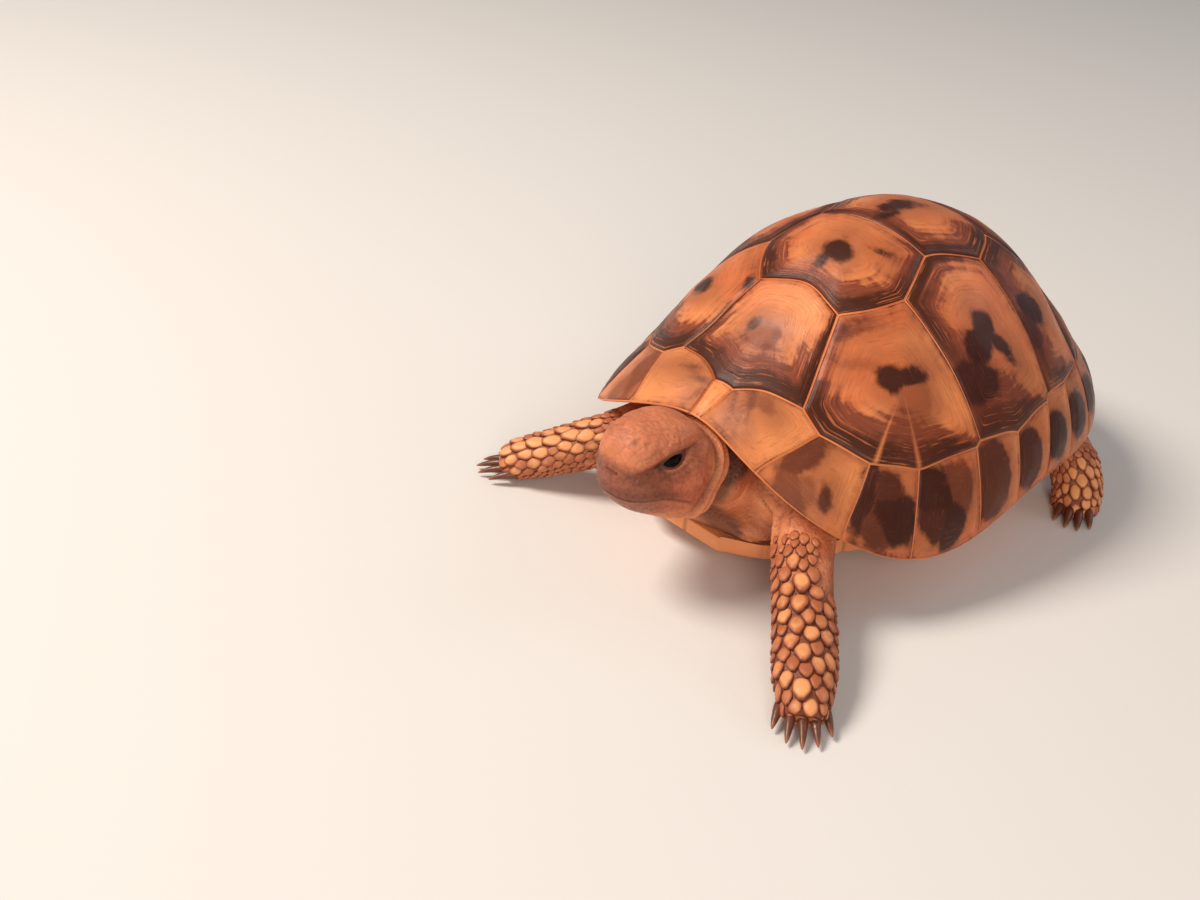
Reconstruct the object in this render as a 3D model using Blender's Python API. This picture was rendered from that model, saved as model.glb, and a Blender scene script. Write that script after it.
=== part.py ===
"""A young spur-thighed tortoise, life size, reaching forward with its left foreleg.

The shell is a dome drawn from one chart: a disc whose centre is the top of the back and whose edge is
the rim, on which the seams between the horny plates are straight lines. The flesh is a set of swept
solids that plug into sockets in the trunk. Lengths in the tables are shares of the shell's length;
x is the animal's left, y its rear and z up from the underside of the belly plate.
"""

import math

import bmesh
import bpy
from mathutils import Matrix, Vector

# ---- driving dimensions, in metres ----
SHELL_LENGTH = 0.110
BELLY_CLEARANCE = 0.0055
GAP = 0.0003
SHELL_WALL = 0.0026
BELLY_PLATE = 0.0030

# ---- the dome, as shares of the shell's length ----
DOME_WIDTH = 0.775
DOME_HEIGHT = 0.477
WIDEST_AT = -0.032
OUTLINE_FRONT = 2.66
OUTLINE_REAR = 2.64
NECK_NOTCH = 0.049
NECK_NOTCH_SPREAD = math.radians(14)
RIM_HEIGHTS = (0.231, 0.080, 0.094, 0.099, 0.121)
# front, side and rear: how the meridians swell outwards, upwards, and flare at the rim
SWELL_OUT = (1.968, 1.884, 2.271)
SWELL_UP = (0.722, 1.528, 1.389)
FLARE = (0.106, 0.019, 0.065)
FLARE_FROM = 0.62

# ---- relief of the plates, in metres and in chart units ----
SEAM_DEPTH = 0.0003
GROOVE_WIDTH = 0.016
# rings of a plate outside its groove: share of the way in to the areola, and lift in metres
PLATE_RINGS = ((0.20, 0.0005), (0.44, 0.0008), (0.70, 0.0010))
RIM_PLATE_RINGS = ((0.45, 0.0005),)
PLATE_LIFT = 0.0003

# ---- the chart: corners of the plates on the animal's left, (across, along) ----
CORNERS = {
    "nuchal": (0.047, -0.883),
    "v1_m1": (0.284, -0.712),
    "m1_m2": (0.367, -0.706),
    "v1_v2": (0.154, -0.379),
    "v2_c1": (0.243, -0.188),
    "v2_v3": (0.194, -0.032),
    "v3_c2": (0.242, 0.155),
    "v3_v4": (0.144, 0.242),
    "v4_c3": (0.240, 0.470),
    "v4_v5": (0.160, 0.600),
    "v5_m11": (0.255, 0.757),
    "tail_plate": (0.135, 0.809),
    "m2_m3": (0.514, -0.597),
    "m3_m4": (0.628, -0.457),
    "m4_m5": (0.729, -0.223),
    "c1_c2": (0.724, -0.199),
    "m5_m6": (0.796, -0.001),
    "m6_m7": (0.747, 0.223),
    "c2_c3": (0.720, 0.240),
    "m7_m8": (0.656, 0.375),
    "m8_m9": (0.556, 0.518),
    "m9_m10": (0.436, 0.647),
    "m10_m11": (0.293, 0.744),
}
# seams of the rim plates where they reach the rim, in degrees from the front
RIM_SEAMS = (1.5, 17.5, 36.5, 52.2, 72.6, 87.4, 101.0, 113.7, 127.0, 141.0, 155.0, 168.5)

# plates whose two halves mirror each other, given by their left corners from front to rear
MIDDLE_PLATES = (
    ("rim0", "nuchal"),
    ("nuchal", "v1_m1", "v1_v2"),
    ("v1_v2", "v2_c1", "v2_v3"),
    ("v2_v3", "v3_c2", "v3_v4"),
    ("v3_v4", "v4_c3", "v4_v5"),
    ("v4_v5", "v5_m11", "tail_plate"),
    ("tail_plate", "rim11"),
)
SIDE_PLATES = (
    ("v1_m1", "m1_m2", "m2_m3", "m3_m4", "m4_m5", "c1_c2", "v2_c1", "v1_v2"),
    ("v2_c1", "c1_c2", "m5_m6", "m6_m7", "c2_c3", "v3_c2", "v2_v3"),
    ("v3_c2", "c2_c3", "m7_m8", "m8_m9", "v4_c3", "v3_v4"),
    ("v4_c3", "m8_m9", "m9_m10", "m10_m11", "v5_m11", "v4_v5"),
)
RIM_PLATES = (
    ("rim0", "rim1", "m1_m2", "v1_m1", "nuchal"),
    ("rim1", "rim2", "m2_m3", "m1_m2"),
    ("rim2", "rim3", "m3_m4", "m2_m3"),
    ("rim3", "rim4", "m4_m5", "m3_m4"),
    ("rim4", "rim5", "m5_m6", "c1_c2", "m4_m5"),
    ("rim5", "rim6", "m6_m7", "m5_m6"),
    ("rim6", "rim7", "m7_m8", "c2_c3", "m6_m7"),
    ("rim7", "rim8", "m8_m9", "m7_m8"),
    ("rim8", "rim9", "m9_m10", "m8_m9"),
    ("rim9", "rim10", "m10_m11", "m9_m10"),
    ("rim10", "rim11", "tail_plate", "v5_m11", "m10_m11"),
)
SEAM_STRETCH = 0.072
# rings of the shell's inner wall: chart radius, and depth under the outer face in walls at the front,
# side and rear; the rim plates turn in under the flanks as a ledge
INNER_RINGS = (
    (0.990, (0.45, 1.5, 0.45)),
    (0.940, (1.0, 1.8, 1.0)),
    (0.880, (1.0, 1.0, 1.0)),
    (0.740, (1.0, 1.0, 1.0)),
    (0.600, (1.0, 1.0, 1.0)),
    (0.380, (1.0, 1.0, 1.0)),
    (0.160, (1.0, 1.0, 1.0)),
)

# ---- the belly plate: half widths by distance from the front, and its bridges to the rim ----
BELLY_ROWS = (
    (-0.469, 0.088), (-0.434, 0.149), (-0.370, 0.200), (-0.300, 0.226), (-0.262, 0.245), (-0.225, 0.0),
    (-0.140, 0.0), (-0.060, 0.0), (0.020, 0.0), (0.100, 0.0), (0.170, 0.0), (0.205, 0.235),
    (0.265, 0.222), (0.340, 0.208), (0.400, 0.160), (0.440, 0.095),
)
TAIL_NOTCH = 0.035
BRIDGE_FROM = 0.235
BRIDGE_EDGE = 0.905
BRIDGE_DROP = 0.010

# ---- flesh ----
# head and neck sections: along, half width, top, bottom, squareness
HEAD = (
    (-0.4885, 0.078, 0.228, 0.056, 2.2),
    (-0.512, 0.081, 0.250, 0.056, 2.3),
    (-0.540, 0.079, 0.263, 0.063, 2.4),
    (-0.570, 0.073, 0.267, 0.077, 2.6),
    (-0.600, 0.066, 0.264, 0.093, 2.8),
    (-0.624, 0.060, 0.257, 0.107, 2.9),
    (-0.644, 0.052, 0.246, 0.119, 2.8),
    (-0.658, 0.041, 0.230, 0.131, 2.6),
    (-0.667, 0.026, 0.213, 0.145, 2.4),
)
NECK = (
    (-0.300, 0.075, 0.190, 0.055, 2.0),
    (-0.360, 0.082, 0.200, 0.046, 2.0),
    (-0.410, 0.087, 0.204, 0.042, 2.0),
    (-0.440, 0.091, 0.207, 0.044, 2.0),
    (-0.462, 0.089, 0.210, 0.050, 2.1),
    (-0.4855, 0.078, 0.226, 0.056, 2.2),
)
HEAD_SIDES = 20
LIMB_SIDES = 12
# the mouth and the back of the lower jaw, seen from the side: along, up
MOUTH_LINE = ((-0.700, 0.150), (-0.655, 0.147), (-0.600, 0.134), (-0.545, 0.119), (-0.512, 0.085), (-0.500, 0.030))
EYE_RADIUS = 0.0215
EYE_CENTRE = (0.0405, -0.580, 0.213)
LID_OPENING = (0.016, 0.027, 0.0135)
LID_TILT = math.radians(14)

# limb sections: centre, half breadth, half thickness
LEFT_FORELEG = (
    ((0.155, -0.320, 0.105), 0.052, 0.052),
    ((0.194, -0.383, 0.088), 0.056, 0.052),
    ((0.236, -0.442, 0.064), 0.054, 0.046),
    ((0.288, -0.500, 0.036), 0.053, 0.041),
    ((0.342, -0.557, 0.011), 0.054, 0.038),
    ((0.381, -0.603, -0.009), 0.054, 0.036),
    ((0.408, -0.634, -0.022), 0.048, 0.033),
    ((0.424, -0.653, -0.029), 0.038, 0.025),
)
RIGHT_FORELEG = (
    ((-0.155, -0.320, 0.105), 0.052, 0.050),
    ((-0.186, -0.378, 0.088), 0.055, 0.050),
    ((-0.224, -0.424, 0.062), 0.052, 0.048),
    ((-0.268, -0.464, 0.032), 0.050, 0.045),
    ((-0.312, -0.498, 0.008), 0.049, 0.042),
    ((-0.343, -0.521, -0.008), 0.048, 0.038),
    ((-0.364, -0.537, -0.021), 0.042, 0.034),
    ((-0.377, -0.547, -0.029), 0.034, 0.025),
)
LEFT_HINDLEG = (
    ((0.150, 0.225, 0.125), 0.062, 0.054),
    ((0.225, 0.256, 0.100), 0.060, 0.054),
    ((0.297, 0.272, 0.058), 0.055, 0.050),
    ((0.344, 0.270, 0.018), 0.051, 0.048),
    ((0.368, 0.257, -0.022), 0.051, 0.047),
    ((0.375, 0.250, -0.060), 0.050, 0.046),
)
RIGHT_HINDLEG = (
    ((-0.150, 0.245, 0.125), 0.062, 0.054),
    ((-0.215, 0.290, 0.100), 0.060, 0.054),
    ((-0.274, 0.330, 0.058), 0.055, 0.050),
    ((-0.310, 0.349, 0.018), 0.051, 0.048),
    ((-0.327, 0.347, -0.022), 0.051, 0.047),
    ((-0.332, 0.342, -0.060), 0.050, 0.046),
)
TAIL = (
    ((0.000, 0.330, 0.088), 0.042, 0.038),
    ((0.000, 0.400, 0.074), 0.038, 0.034),
    ((0.012, 0.445, 0.052), 0.029, 0.027),
    ((0.032, 0.476, 0.026), 0.019, 0.018),
    ((0.055, 0.498, 0.006), 0.009, 0.009),
)

# claws: how they stand along the edge of a foot, and each one's droop over its length
CLAW_LENGTH = 0.060
CLAW_ROOT = 0.0077
CLAW_SPACING = 0.0182
CLAW_FAN = math.radians(9)
CLAW_ARC = 0.0045
CLAW_DROOP = 0.22
CLAW_SIDES = 6
FORE_CLAWS = 5
HIND_CLAWS = 4

TRUNK_TO = 0.83
TRUNK_RINGS = (0.16, 0.38, 0.60, 0.74)
# the skirt under the dome: how far out it stands at the front, side and rear, and how high
TRUNK_SKIRT = (((1.00, 0.88, 0.98), 0.064), ((1.00, 0.71, 0.93), 0.018), ((0.97, 0.56, 0.84), 0.0))
TRUNK_SIDES = 36

# ---- colours, linear, and roughness ----
FINISHES = {
    "shell_horn": ((0.55, 0.22, 0.07), 0.45),
    "belly_horn": ((0.60, 0.33, 0.13), 0.50),
    "skin": ((0.36, 0.15, 0.07), 0.70),
    "limb_scales": ((0.55, 0.27, 0.10), 0.60),
    "claw_horn": ((0.16, 0.07, 0.035), 0.40),
    "eye": ((0.010, 0.006, 0.005), 0.08),
}


def clear_scene():
    for item in list(bpy.data.objects):
        bpy.data.objects.remove(item, do_unlink=True)


def finish(slot):
    """The Principled material of a slot, made on first use."""
    if slot in bpy.data.materials:
        return bpy.data.materials[slot]
    colour, roughness = FINISHES[slot]
    material = bpy.data.materials.new(slot)
    material.use_nodes = True
    shader = material.node_tree.nodes["Principled BSDF"]
    shader.inputs["Base Color"].default_value = (*colour, 1.0)
    shader.inputs["Roughness"].default_value = roughness
    shader.inputs["Metallic"].default_value = 0.0
    return material


def place(across, along, up):
    """A point in shell lengths, as metres over the floor."""
    return Vector((across, along, up)) * SHELL_LENGTH + Vector((0, 0, BELLY_CLEARANCE))


# ---- the dome ----


def shares(turn):
    """How much a direction faces the front, the side and the rear."""
    ahead = math.cos(turn)
    front = max(ahead, 0.0) ** 2
    rear = max(-ahead, 0.0) ** 2
    return front, 1.0 - front - rear, rear


def blend(values, turn):
    return sum(value * share for value, share in zip(values, shares(turn)))


def rim_height(turn):
    """The even cosine series that passes through RIM_HEIGHTS at every 45 degrees."""
    steps = len(RIM_HEIGHTS) - 1
    height = 0.0
    for wave in range(steps + 1):
        terms = [
            value * math.cos(math.pi * wave * node / steps) * (0.5 if node in (0, steps) else 1.0)
            for node, value in enumerate(RIM_HEIGHTS)
        ]
        weight = 1.0 if wave in (0, steps) else 2.0
        height += weight * sum(terms) / steps * math.cos(wave * turn)
    return height


def half_length_towards(ahead):
    """From the widest place to the front end (ahead above 0) or to the rear end."""
    return 0.5 + WIDEST_AT if ahead > 0 else 0.5 - WIDEST_AT


def rim_radius(turn):
    ahead, aside = math.cos(turn), math.sin(turn)
    half_length = half_length_towards(ahead)
    power = OUTLINE_FRONT if ahead > 0 else OUTLINE_REAR
    outline = (abs(aside) / (DOME_WIDTH / 2)) ** power + (abs(ahead) / half_length) ** power
    wrapped = math.atan2(aside, ahead)
    notch = NECK_NOTCH * math.exp(-((wrapped / NECK_NOTCH_SPREAD) ** 2))
    return outline ** (-1.0 / power) * (1.0 - notch)


def meridian(reach, turn):
    """Share of the rim's radius and of the dome's height at a chart radius of reach."""
    out_power, up_power = blend(SWELL_OUT, turn), blend(SWELL_UP, turn)
    lean = math.radians(90.0 * (1.0 - reach))
    level, rise = max(math.cos(lean), 1e-9), max(math.sin(lean), 1e-9)
    length = 1.0
    for _ in range(10):
        outer, upper = (length * level) ** out_power, (length * rise) ** up_power
        slope = (out_power * outer + up_power * upper) / length
        length = max(length - (outer + upper - 1.0) / slope, 0.2)
    out = length * level
    part = min(max((reach - FLARE_FROM) / (1.0 - FLARE_FROM), 0.0), 1.0)
    flare = blend(FLARE, turn)
    out = (out + part * part * (3 - 2 * part) * flare) / (1 + flare)
    return out, length * rise


def dome_face(across, along):
    """The outer face of the shell at a chart place, in metres."""
    reach, turn = math.hypot(across, along), math.atan2(across, -along)
    out, up = meridian(min(reach, 1.0), turn)
    radius, low = rim_radius(turn) * out, rim_height(turn)
    return place(radius * math.sin(turn), WIDEST_AT - radius * math.cos(turn), low + up * (DOME_HEIGHT - low))


def dome_point(across, along, lift):
    """The shell at a chart place, lifted off its outer face by lift metres."""
    step = 0.004
    inward = 1.0 - step / max(math.hypot(across, along), step) if math.hypot(across, along) > 1 - step else 1.0
    near, far = across * inward, along * inward
    sideways = dome_face(near + step, far) - dome_face(near - step, far)
    lengthways = dome_face(near, far + step) - dome_face(near, far - step)
    return dome_face(across, along) + sideways.cross(lengthways).normalized() * lift


def chart_place(name, side=1):
    """A named corner of the chart, on the left (1) or the right (-1)."""
    if name.startswith("rim"):
        turn = math.radians(RIM_SEAMS[int(name[3:])])
        return side * math.sin(turn), -math.cos(turn)
    across, along = CORNERS[name]
    return side * across, along


def plates():
    """Every plate of the upper shell as its ring of (name, side) corners."""
    rings = []
    for names in MIDDLE_PLATES:
        left = [(name, 1) for name in names]
        right = [(name, -1) for name in reversed(names)]
        rings.append(left + right)
    for names in SIDE_PLATES + RIM_PLATES:
        for side in (1, -1):
            rings.append([(name, side) for name in names])
    return rings


# ---- building blocks ----


def add_object(name, bm, slot):
    mesh = bpy.data.meshes.new(name)
    bmesh.ops.recalc_face_normals(bm, faces=bm.faces)
    bm.to_mesh(mesh)
    bm.free()
    mesh.shade_smooth()
    mesh.set_sharp_from_angle(angle=math.radians(40))
    mesh.materials.append(finish(slot))
    item = bpy.data.objects.new(name, mesh)
    bpy.context.scene.collection.objects.link(item)
    return item


def cutter(bm):
    """A helper solid that is cut away from others and never shown."""
    item = add_object("cutter", bm, "skin")
    item.hide_render = True
    item.display_type = "WIRE"
    return item


def cut(item, helper, operation="DIFFERENCE"):
    modifier = item.modifiers.new(operation.title(), "BOOLEAN")
    modifier.operation = operation
    modifier.object = helper


def apply_modifiers(item):
    """Replaces the object's mesh by what its modifiers make of it."""
    graph = bpy.context.evaluated_depsgraph_get()
    made = bpy.data.meshes.new_from_object(item.evaluated_get(graph))
    item.modifiers.clear()
    item.data = made


def sweep(rings):
    """A closed solid through rings of equally many points."""
    bm = bmesh.new()
    bmesh.ops.create_circle(bm, cap_ends=True, segments=len(rings[0]), radius=1.0)
    bm.faces.ensure_lookup_table()
    face = bm.faces[0]
    move_ring(face, rings[0])
    for ring in rings[1:]:
        face = bmesh.ops.extrude_discrete_faces(bm, faces=[face])["faces"][0]
        move_ring(face, ring)
    bmesh.ops.holes_fill(bm, edges=[edge for edge in bm.edges if edge.is_boundary], sides=0)
    return bm


def move_ring(face, ring):
    for vertex, point in zip(face.verts, ring):
        vertex.co = point


def rounded(value, power):
    return math.copysign(abs(value) ** (2.0 / power), value)


def body_rings(sections, grow=0.0):
    """Upright rings across the animal for the head and neck, grown outwards by grow metres."""
    more = grow / SHELL_LENGTH
    rings = []
    for index, (along, half_width, top, bottom, power) in enumerate(sections):
        along += more if index == 0 else 0.0
        ring = []
        for step in range(HEAD_SIDES):
            angle = 2 * math.pi * (step + 0.5) / HEAD_SIDES
            aside, up = rounded(math.cos(angle), power), rounded(math.sin(angle), power)
            middle, half = (top + bottom) / 2, (top - bottom) / 2 + more
            ring.append(place((half_width + more) * aside, along, middle + half * up))
        rings.append(ring)
    return rings


def limb_rings(sections, grow=0.0, sides=LIMB_SIDES):
    """Rings across a limb's path. Its broad side stays level."""
    centres = [place(*centre) for centre, _, _ in sections]
    run = centres[-1] - centres[0]
    broad = Vector((run.y, -run.x, 0)).normalized()
    rings = []
    for index, (_, half_breadth, half_thickness) in enumerate(sections):
        ahead = centres[min(index + 1, len(centres) - 1)] - centres[max(index - 1, 0)]
        thick = broad.cross(ahead).normalized()
        centre = centres[index] - (ahead.normalized() * grow if index == 0 else Vector())
        ring = []
        for step in range(sides):
            angle = 2 * math.pi * (step + 0.5) / sides
            offset = broad * math.cos(angle) * (half_breadth * SHELL_LENGTH + grow)
            ring.append(centre + offset + thick * math.sin(angle) * (half_thickness * SHELL_LENGTH + grow))
        rings.append(ring)
    return rings


def flatten_sole(bm):
    """Cuts off what lies below the floor and closes the flat that is left."""
    everything = list(bm.verts) + list(bm.edges) + list(bm.faces)
    bmesh.ops.bisect_plane(bm, geom=everything, plane_co=(0, 0, 0), plane_no=(0, 0, 1), clear_inner=True)
    bmesh.ops.holes_fill(bm, edges=[edge for edge in bm.edges if edge.is_boundary], sides=0)


# ---- the pieces ----


def build_carapace():
    """One fused dome: plates parted by shallow grooves, each rising to its areola."""
    bm = bmesh.new()
    corners = {}
    faces = []
    for ring in plates():
        for corner in ring:
            if corner not in corners:
                corners[corner] = bm.verts.new((*chart_place(*corner), 0.0))
        faces.append(bm.faces.new([corners[corner] for corner in ring]))
    split_long_edges(bm)
    keep_rim_round(bm)
    groove_plates(bm)
    close_inner_wall(bm)
    bmesh.ops.triangulate(bm, faces=[face for face in bm.faces if len(face.verts) > 4])
    for vertex in bm.verts:
        vertex.co = dome_point(*vertex.co)
    return add_object("carapace", bm, "shell_horn")


def split_long_edges(bm):
    """Splits each seam into stretches of about SEAM_STRETCH, so that it can follow the dome."""
    by_cuts = {}
    for edge in bm.edges:
        run = dome_face(*edge.verts[0].co.xy) - dome_face(*edge.verts[1].co.xy)
        cuts = math.ceil(run.length / SHELL_LENGTH / SEAM_STRETCH) - 1
        by_cuts.setdefault(cuts, []).append(edge)
    for cuts, edges in sorted(by_cuts.items()):
        if cuts:
            bmesh.ops.bisect_edges(bm, edges=edges, cuts=cuts)


def keep_rim_round(bm):
    for edge in bm.edges:
        if edge.is_boundary:
            for vertex in edge.verts:
                vertex.co.xy = vertex.co.xy.normalized()


def groove_plates(bm):
    """Sinks the seams and raises each plate in steps to a small areola."""
    for vertex in bm.verts:
        if not vertex.is_boundary:
            vertex.co.z = -SEAM_DEPTH
    for face in list(bm.faces):
        middle = face.calc_center_median_weighted()
        touches_rim = any(vertex.is_boundary for vertex in face.verts)
        inner = step_in(bm, face, middle, GROOVE_WIDTH, 0.0, PLATE_LIFT)
        done = 0.0
        for share, lift in RIM_PLATE_RINGS if touches_rim else PLATE_RINGS:
            inner = step_in(bm, inner, middle, 0.0, (share - done) / (1 - done), lift)
            done = share


def step_in(bm, face, middle, distance, share, lift):
    """Extrudes a plate's face and draws it in towards the middle by a distance and by a share."""
    inner = bmesh.ops.extrude_discrete_faces(bm, faces=[face])["faces"][0]
    for vertex in inner.verts:
        towards = (middle - vertex.co).xy
        vertex.co.xy += towards.normalized() * distance + towards * share
        vertex.co.z = lift
    return inner


def close_inner_wall(bm):
    """Carries the rim round into an inner wall that runs under the dome to its top."""
    edges = [edge for edge in bm.edges if edge.is_boundary]
    for reach, walls in INNER_RINGS:
        made = bmesh.ops.extrude_edge_only(bm, edges=edges)["geom"]
        edges = [item for item in made if isinstance(item, bmesh.types.BMEdge)]
        ring = {vertex for edge in edges for vertex in edge.verts}
        for vertex in ring:
            turn = math.atan2(vertex.co.x, -vertex.co.y)
            vertex.co.xy = vertex.co.xy.normalized() * reach
            vertex.co.z = -blend(walls, turn) * SHELL_WALL
    bmesh.ops.holes_fill(bm, edges=edges, sides=0)


def shell_half_width(along):
    """Half the shell's width at the rim, at a distance from its middle."""
    ahead = WIDEST_AT - along
    half_length = half_length_towards(ahead)
    power = OUTLINE_FRONT if ahead > 0 else OUTLINE_REAR
    return DOME_WIDTH / 2 * max(1 - (abs(ahead) / half_length) ** power, 0.0) ** (1 / power)


def build_plastron():
    """The belly plate: two lobes, joined to the rim by a bridge on each side."""
    bm = bmesh.new()
    rows = len(BELLY_ROWS)
    columns = 11
    bmesh.ops.create_grid(bm, x_segments=columns - 1, y_segments=rows - 1, size=1.0)
    plate = BELLY_PLATE / SHELL_LENGTH
    for vertex in bm.verts:
        share = vertex.co.x
        row = round((vertex.co.y + 1) / 2 * (rows - 1))
        along, half_width = BELLY_ROWS[row]
        edge = half_width or BRIDGE_EDGE * shell_half_width(along)
        across = share * edge
        turn = math.atan2(abs(across), WIDEST_AT - along)
        up = 0.0
        if not half_width:
            part = min(max((abs(across) - BRIDGE_FROM) / (edge - BRIDGE_FROM), 0.0), 1.0)
            up = part * (rim_height(turn) - plate - BRIDGE_DROP)
        if row == rows - 1:
            along -= TAIL_NOTCH * (1 - abs(share))
        vertex.co = place(across, along, up)
    bmesh.ops.solidify(bm, geom=list(bm.faces), thickness=-BELLY_PLATE)
    bmesh.ops.triangulate(bm, faces=bm.faces)
    return add_object("plastron", bm, "belly_horn")


def trunk_mesh():
    """The body inside the shell: the dome's inner face, closed over the belly plate."""
    depth = SHELL_WALL + GAP * 1.6
    rings = []
    for reach in (*TRUNK_RINGS, TRUNK_TO):
        ring = []
        for step in range(TRUNK_SIDES):
            turn = 2 * math.pi * step / TRUNK_SIDES
            ring.append(dome_point(reach * math.sin(turn), -reach * math.cos(turn), -depth))
        rings.append(ring)
    centre = place(0, WIDEST_AT, 0)
    floor_of_body = BELLY_CLEARANCE + BELLY_PLATE + GAP * 2
    for shares_in, height in TRUNK_SKIRT:
        low = floor_of_body + height * SHELL_LENGTH
        ring = []
        for step, point in enumerate(rings[len(TRUNK_RINGS)]):
            inward = centre + (point - centre) * blend(shares_in, 2 * math.pi * step / TRUNK_SIDES)
            ring.append(Vector((inward.x, inward.y, min(low, point.z - 0.001))))
        rings.append(ring)
    return sweep(rings)


def claw_rings(root, ahead, length, half, grow=0.0):
    """A claw: sweeps forward and bends down to a blunt point."""
    aside = ahead.cross(Vector((0, 0, 1))).normalized()
    rings = []
    for share, size in ((0.0, 0.9), (0.3, 1.0), (0.65, 0.72), (1.0, 0.24)):
        drop = Vector((0, 0, -1)) * (share * share * length * CLAW_DROOP)
        centre = root + ahead * (length * share) + drop
        lift = aside.cross(ahead).normalized()
        radius = half * size + grow
        ring = []
        for step in range(CLAW_SIDES):
            angle = 2 * math.pi * (step + 0.5) / CLAW_SIDES
            ring.append(centre + (aside * math.cos(angle) + lift * math.sin(angle) * 0.85) * radius)
        rings.append(ring)
    return rings


def foot_claws(foot_name, centre, heading, count, length):
    """The claws of one foot, side by side along its edge, with a grown copy of each for its socket."""
    claws = []
    for number in range(1, count + 1):
        offset = number - (count + 1) / 2
        turn = math.radians(heading)
        across_foot = Vector((math.cos(turn), math.sin(turn), 0.0))
        forward = Vector((math.sin(turn), -math.cos(turn), 0.0))
        step = across_foot * (offset * CLAW_SPACING) - forward * (offset * offset * CLAW_ARC)
        root = place(*centre) + step * SHELL_LENGTH
        ahead = (forward + across_foot * math.tan(offset * CLAW_FAN)).normalized()
        shape = (ahead, length * SHELL_LENGTH, CLAW_ROOT * SHELL_LENGTH)
        claws.append(add_object(f"claw_{foot_name}_{number}", sweep(claw_rings(root, *shape)), "claw_horn"))
        claws.append(cutter(sweep(claw_rings(root - ahead * GAP, *shape, grow=GAP))))
    return claws[0::2], claws[1::2]


def build_leg(name, sections, foot):
    """A leg with a flat sole and a socket for each claw."""
    bm = sweep(limb_rings(sections))
    flatten_sole(bm)
    leg = add_object(name, bm, "limb_scales")
    claws, sockets = foot_claws(name.replace("leg", "foot"), *foot)
    for socket in sockets:
        cut(leg, socket)
    return leg, claws


def mouth_cut():
    """A thin bent sheet across the head, along the mouth and down behind the lower jaw."""
    bm = bmesh.new()
    points = [bm.verts.new(place(-0.12, along, up)) for along, up in MOUTH_LINE]
    edges = [bm.edges.new(pair) for pair in zip(points, points[1:])]
    made = bmesh.ops.extrude_edge_only(bm, edges=edges)["geom"]
    moved = [item for item in made if isinstance(item, bmesh.types.BMVert)]
    bmesh.ops.translate(bm, verts=moved, vec=(0.24 * SHELL_LENGTH, 0, 0))
    bmesh.ops.recalc_face_normals(bm, faces=bm.faces)
    bmesh.ops.solidify(bm, geom=list(bm.faces), thickness=GAP)
    return cutter(bm)


def eye_place(side):
    across, along, up = EYE_CENTRE
    return place(side * across, along, up)


def eye_ball(side, grow=0.0):
    bm = bmesh.new()
    radius = EYE_RADIUS * SHELL_LENGTH + grow
    turned = Matrix.Translation(eye_place(side)) @ Matrix.Rotation(math.radians(90), 4, "Y")
    bmesh.ops.create_uvsphere(bm, u_segments=12, v_segments=8, radius=radius, matrix=turned)
    return bm


def lid_opening(side):
    """The almond between the lids, which runs out through the side of the head."""
    bm = bmesh.new()
    deep, long, high = LID_OPENING
    centre = eye_place(side) + Vector((side * EYE_RADIUS * SHELL_LENGTH, 0, 0))
    shape = Matrix.Diagonal((deep * SHELL_LENGTH, long * SHELL_LENGTH, high * SHELL_LENGTH, 1))
    matrix = Matrix.Translation(centre) @ Matrix.Rotation(LID_TILT, 4, "X") @ shape
    bmesh.ops.create_uvsphere(bm, u_segments=10, v_segments=6, radius=1.0, matrix=matrix)
    return cutter(bm)


def loose_pieces(item):
    """The separate bodies of an object's mesh, as bmeshes, largest first."""
    bm = bmesh.new()
    bm.from_mesh(item.data)
    todo = set(bm.verts)
    groups = []
    while todo:
        group, edge_of_group = set(), [todo.pop()]
        while edge_of_group:
            vertex = edge_of_group.pop()
            group.add(vertex)
            near = {edge.other_vert(vertex) for edge in vertex.link_edges} & todo
            todo -= near
            edge_of_group += near
        groups.append({vertex.index for vertex in group})
    bm.free()
    pieces = []
    for group in sorted(groups, key=len, reverse=True):
        piece = bmesh.new()
        piece.from_mesh(item.data)
        piece.verts.ensure_lookup_table()
        others = [vertex for vertex in piece.verts if vertex.index not in group]
        bmesh.ops.delete(piece, geom=others, context="VERTS")
        pieces.append(piece)
    return pieces


def remove(item):
    bpy.data.objects.remove(item, do_unlink=True)


def build_head():
    """The head and its lower jaw, parted along the mouth, and the eyes in their sockets."""
    whole = add_object("whole_head", sweep(body_rings(HEAD)), "skin")
    for name, side in (("eye_left", 1), ("eye_right", -1)):
        add_object(name, eye_ball(side), "eye")
        cut(whole, cutter(eye_ball(side, GAP)))
        cut(whole, lid_opening(side))
    cut(whole, mouth_cut())
    apply_modifiers(whole)
    head, jaw = loose_pieces(whole)[:2]
    remove(whole)
    add_object("head", head, "skin")
    add_object("lower_jaw", jaw, "skin")


def build_trunk(limbs):
    """The trunk, with a socket for each limb, the neck and the tail."""
    trunk = add_object("trunk", trunk_mesh(), "skin")
    for grown in limbs:
        cut(trunk, cutter(grown))
    apply_modifiers(trunk)
    largest = loose_pieces(trunk)[0]
    remove(trunk)
    add_object("trunk", largest, "skin")


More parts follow.
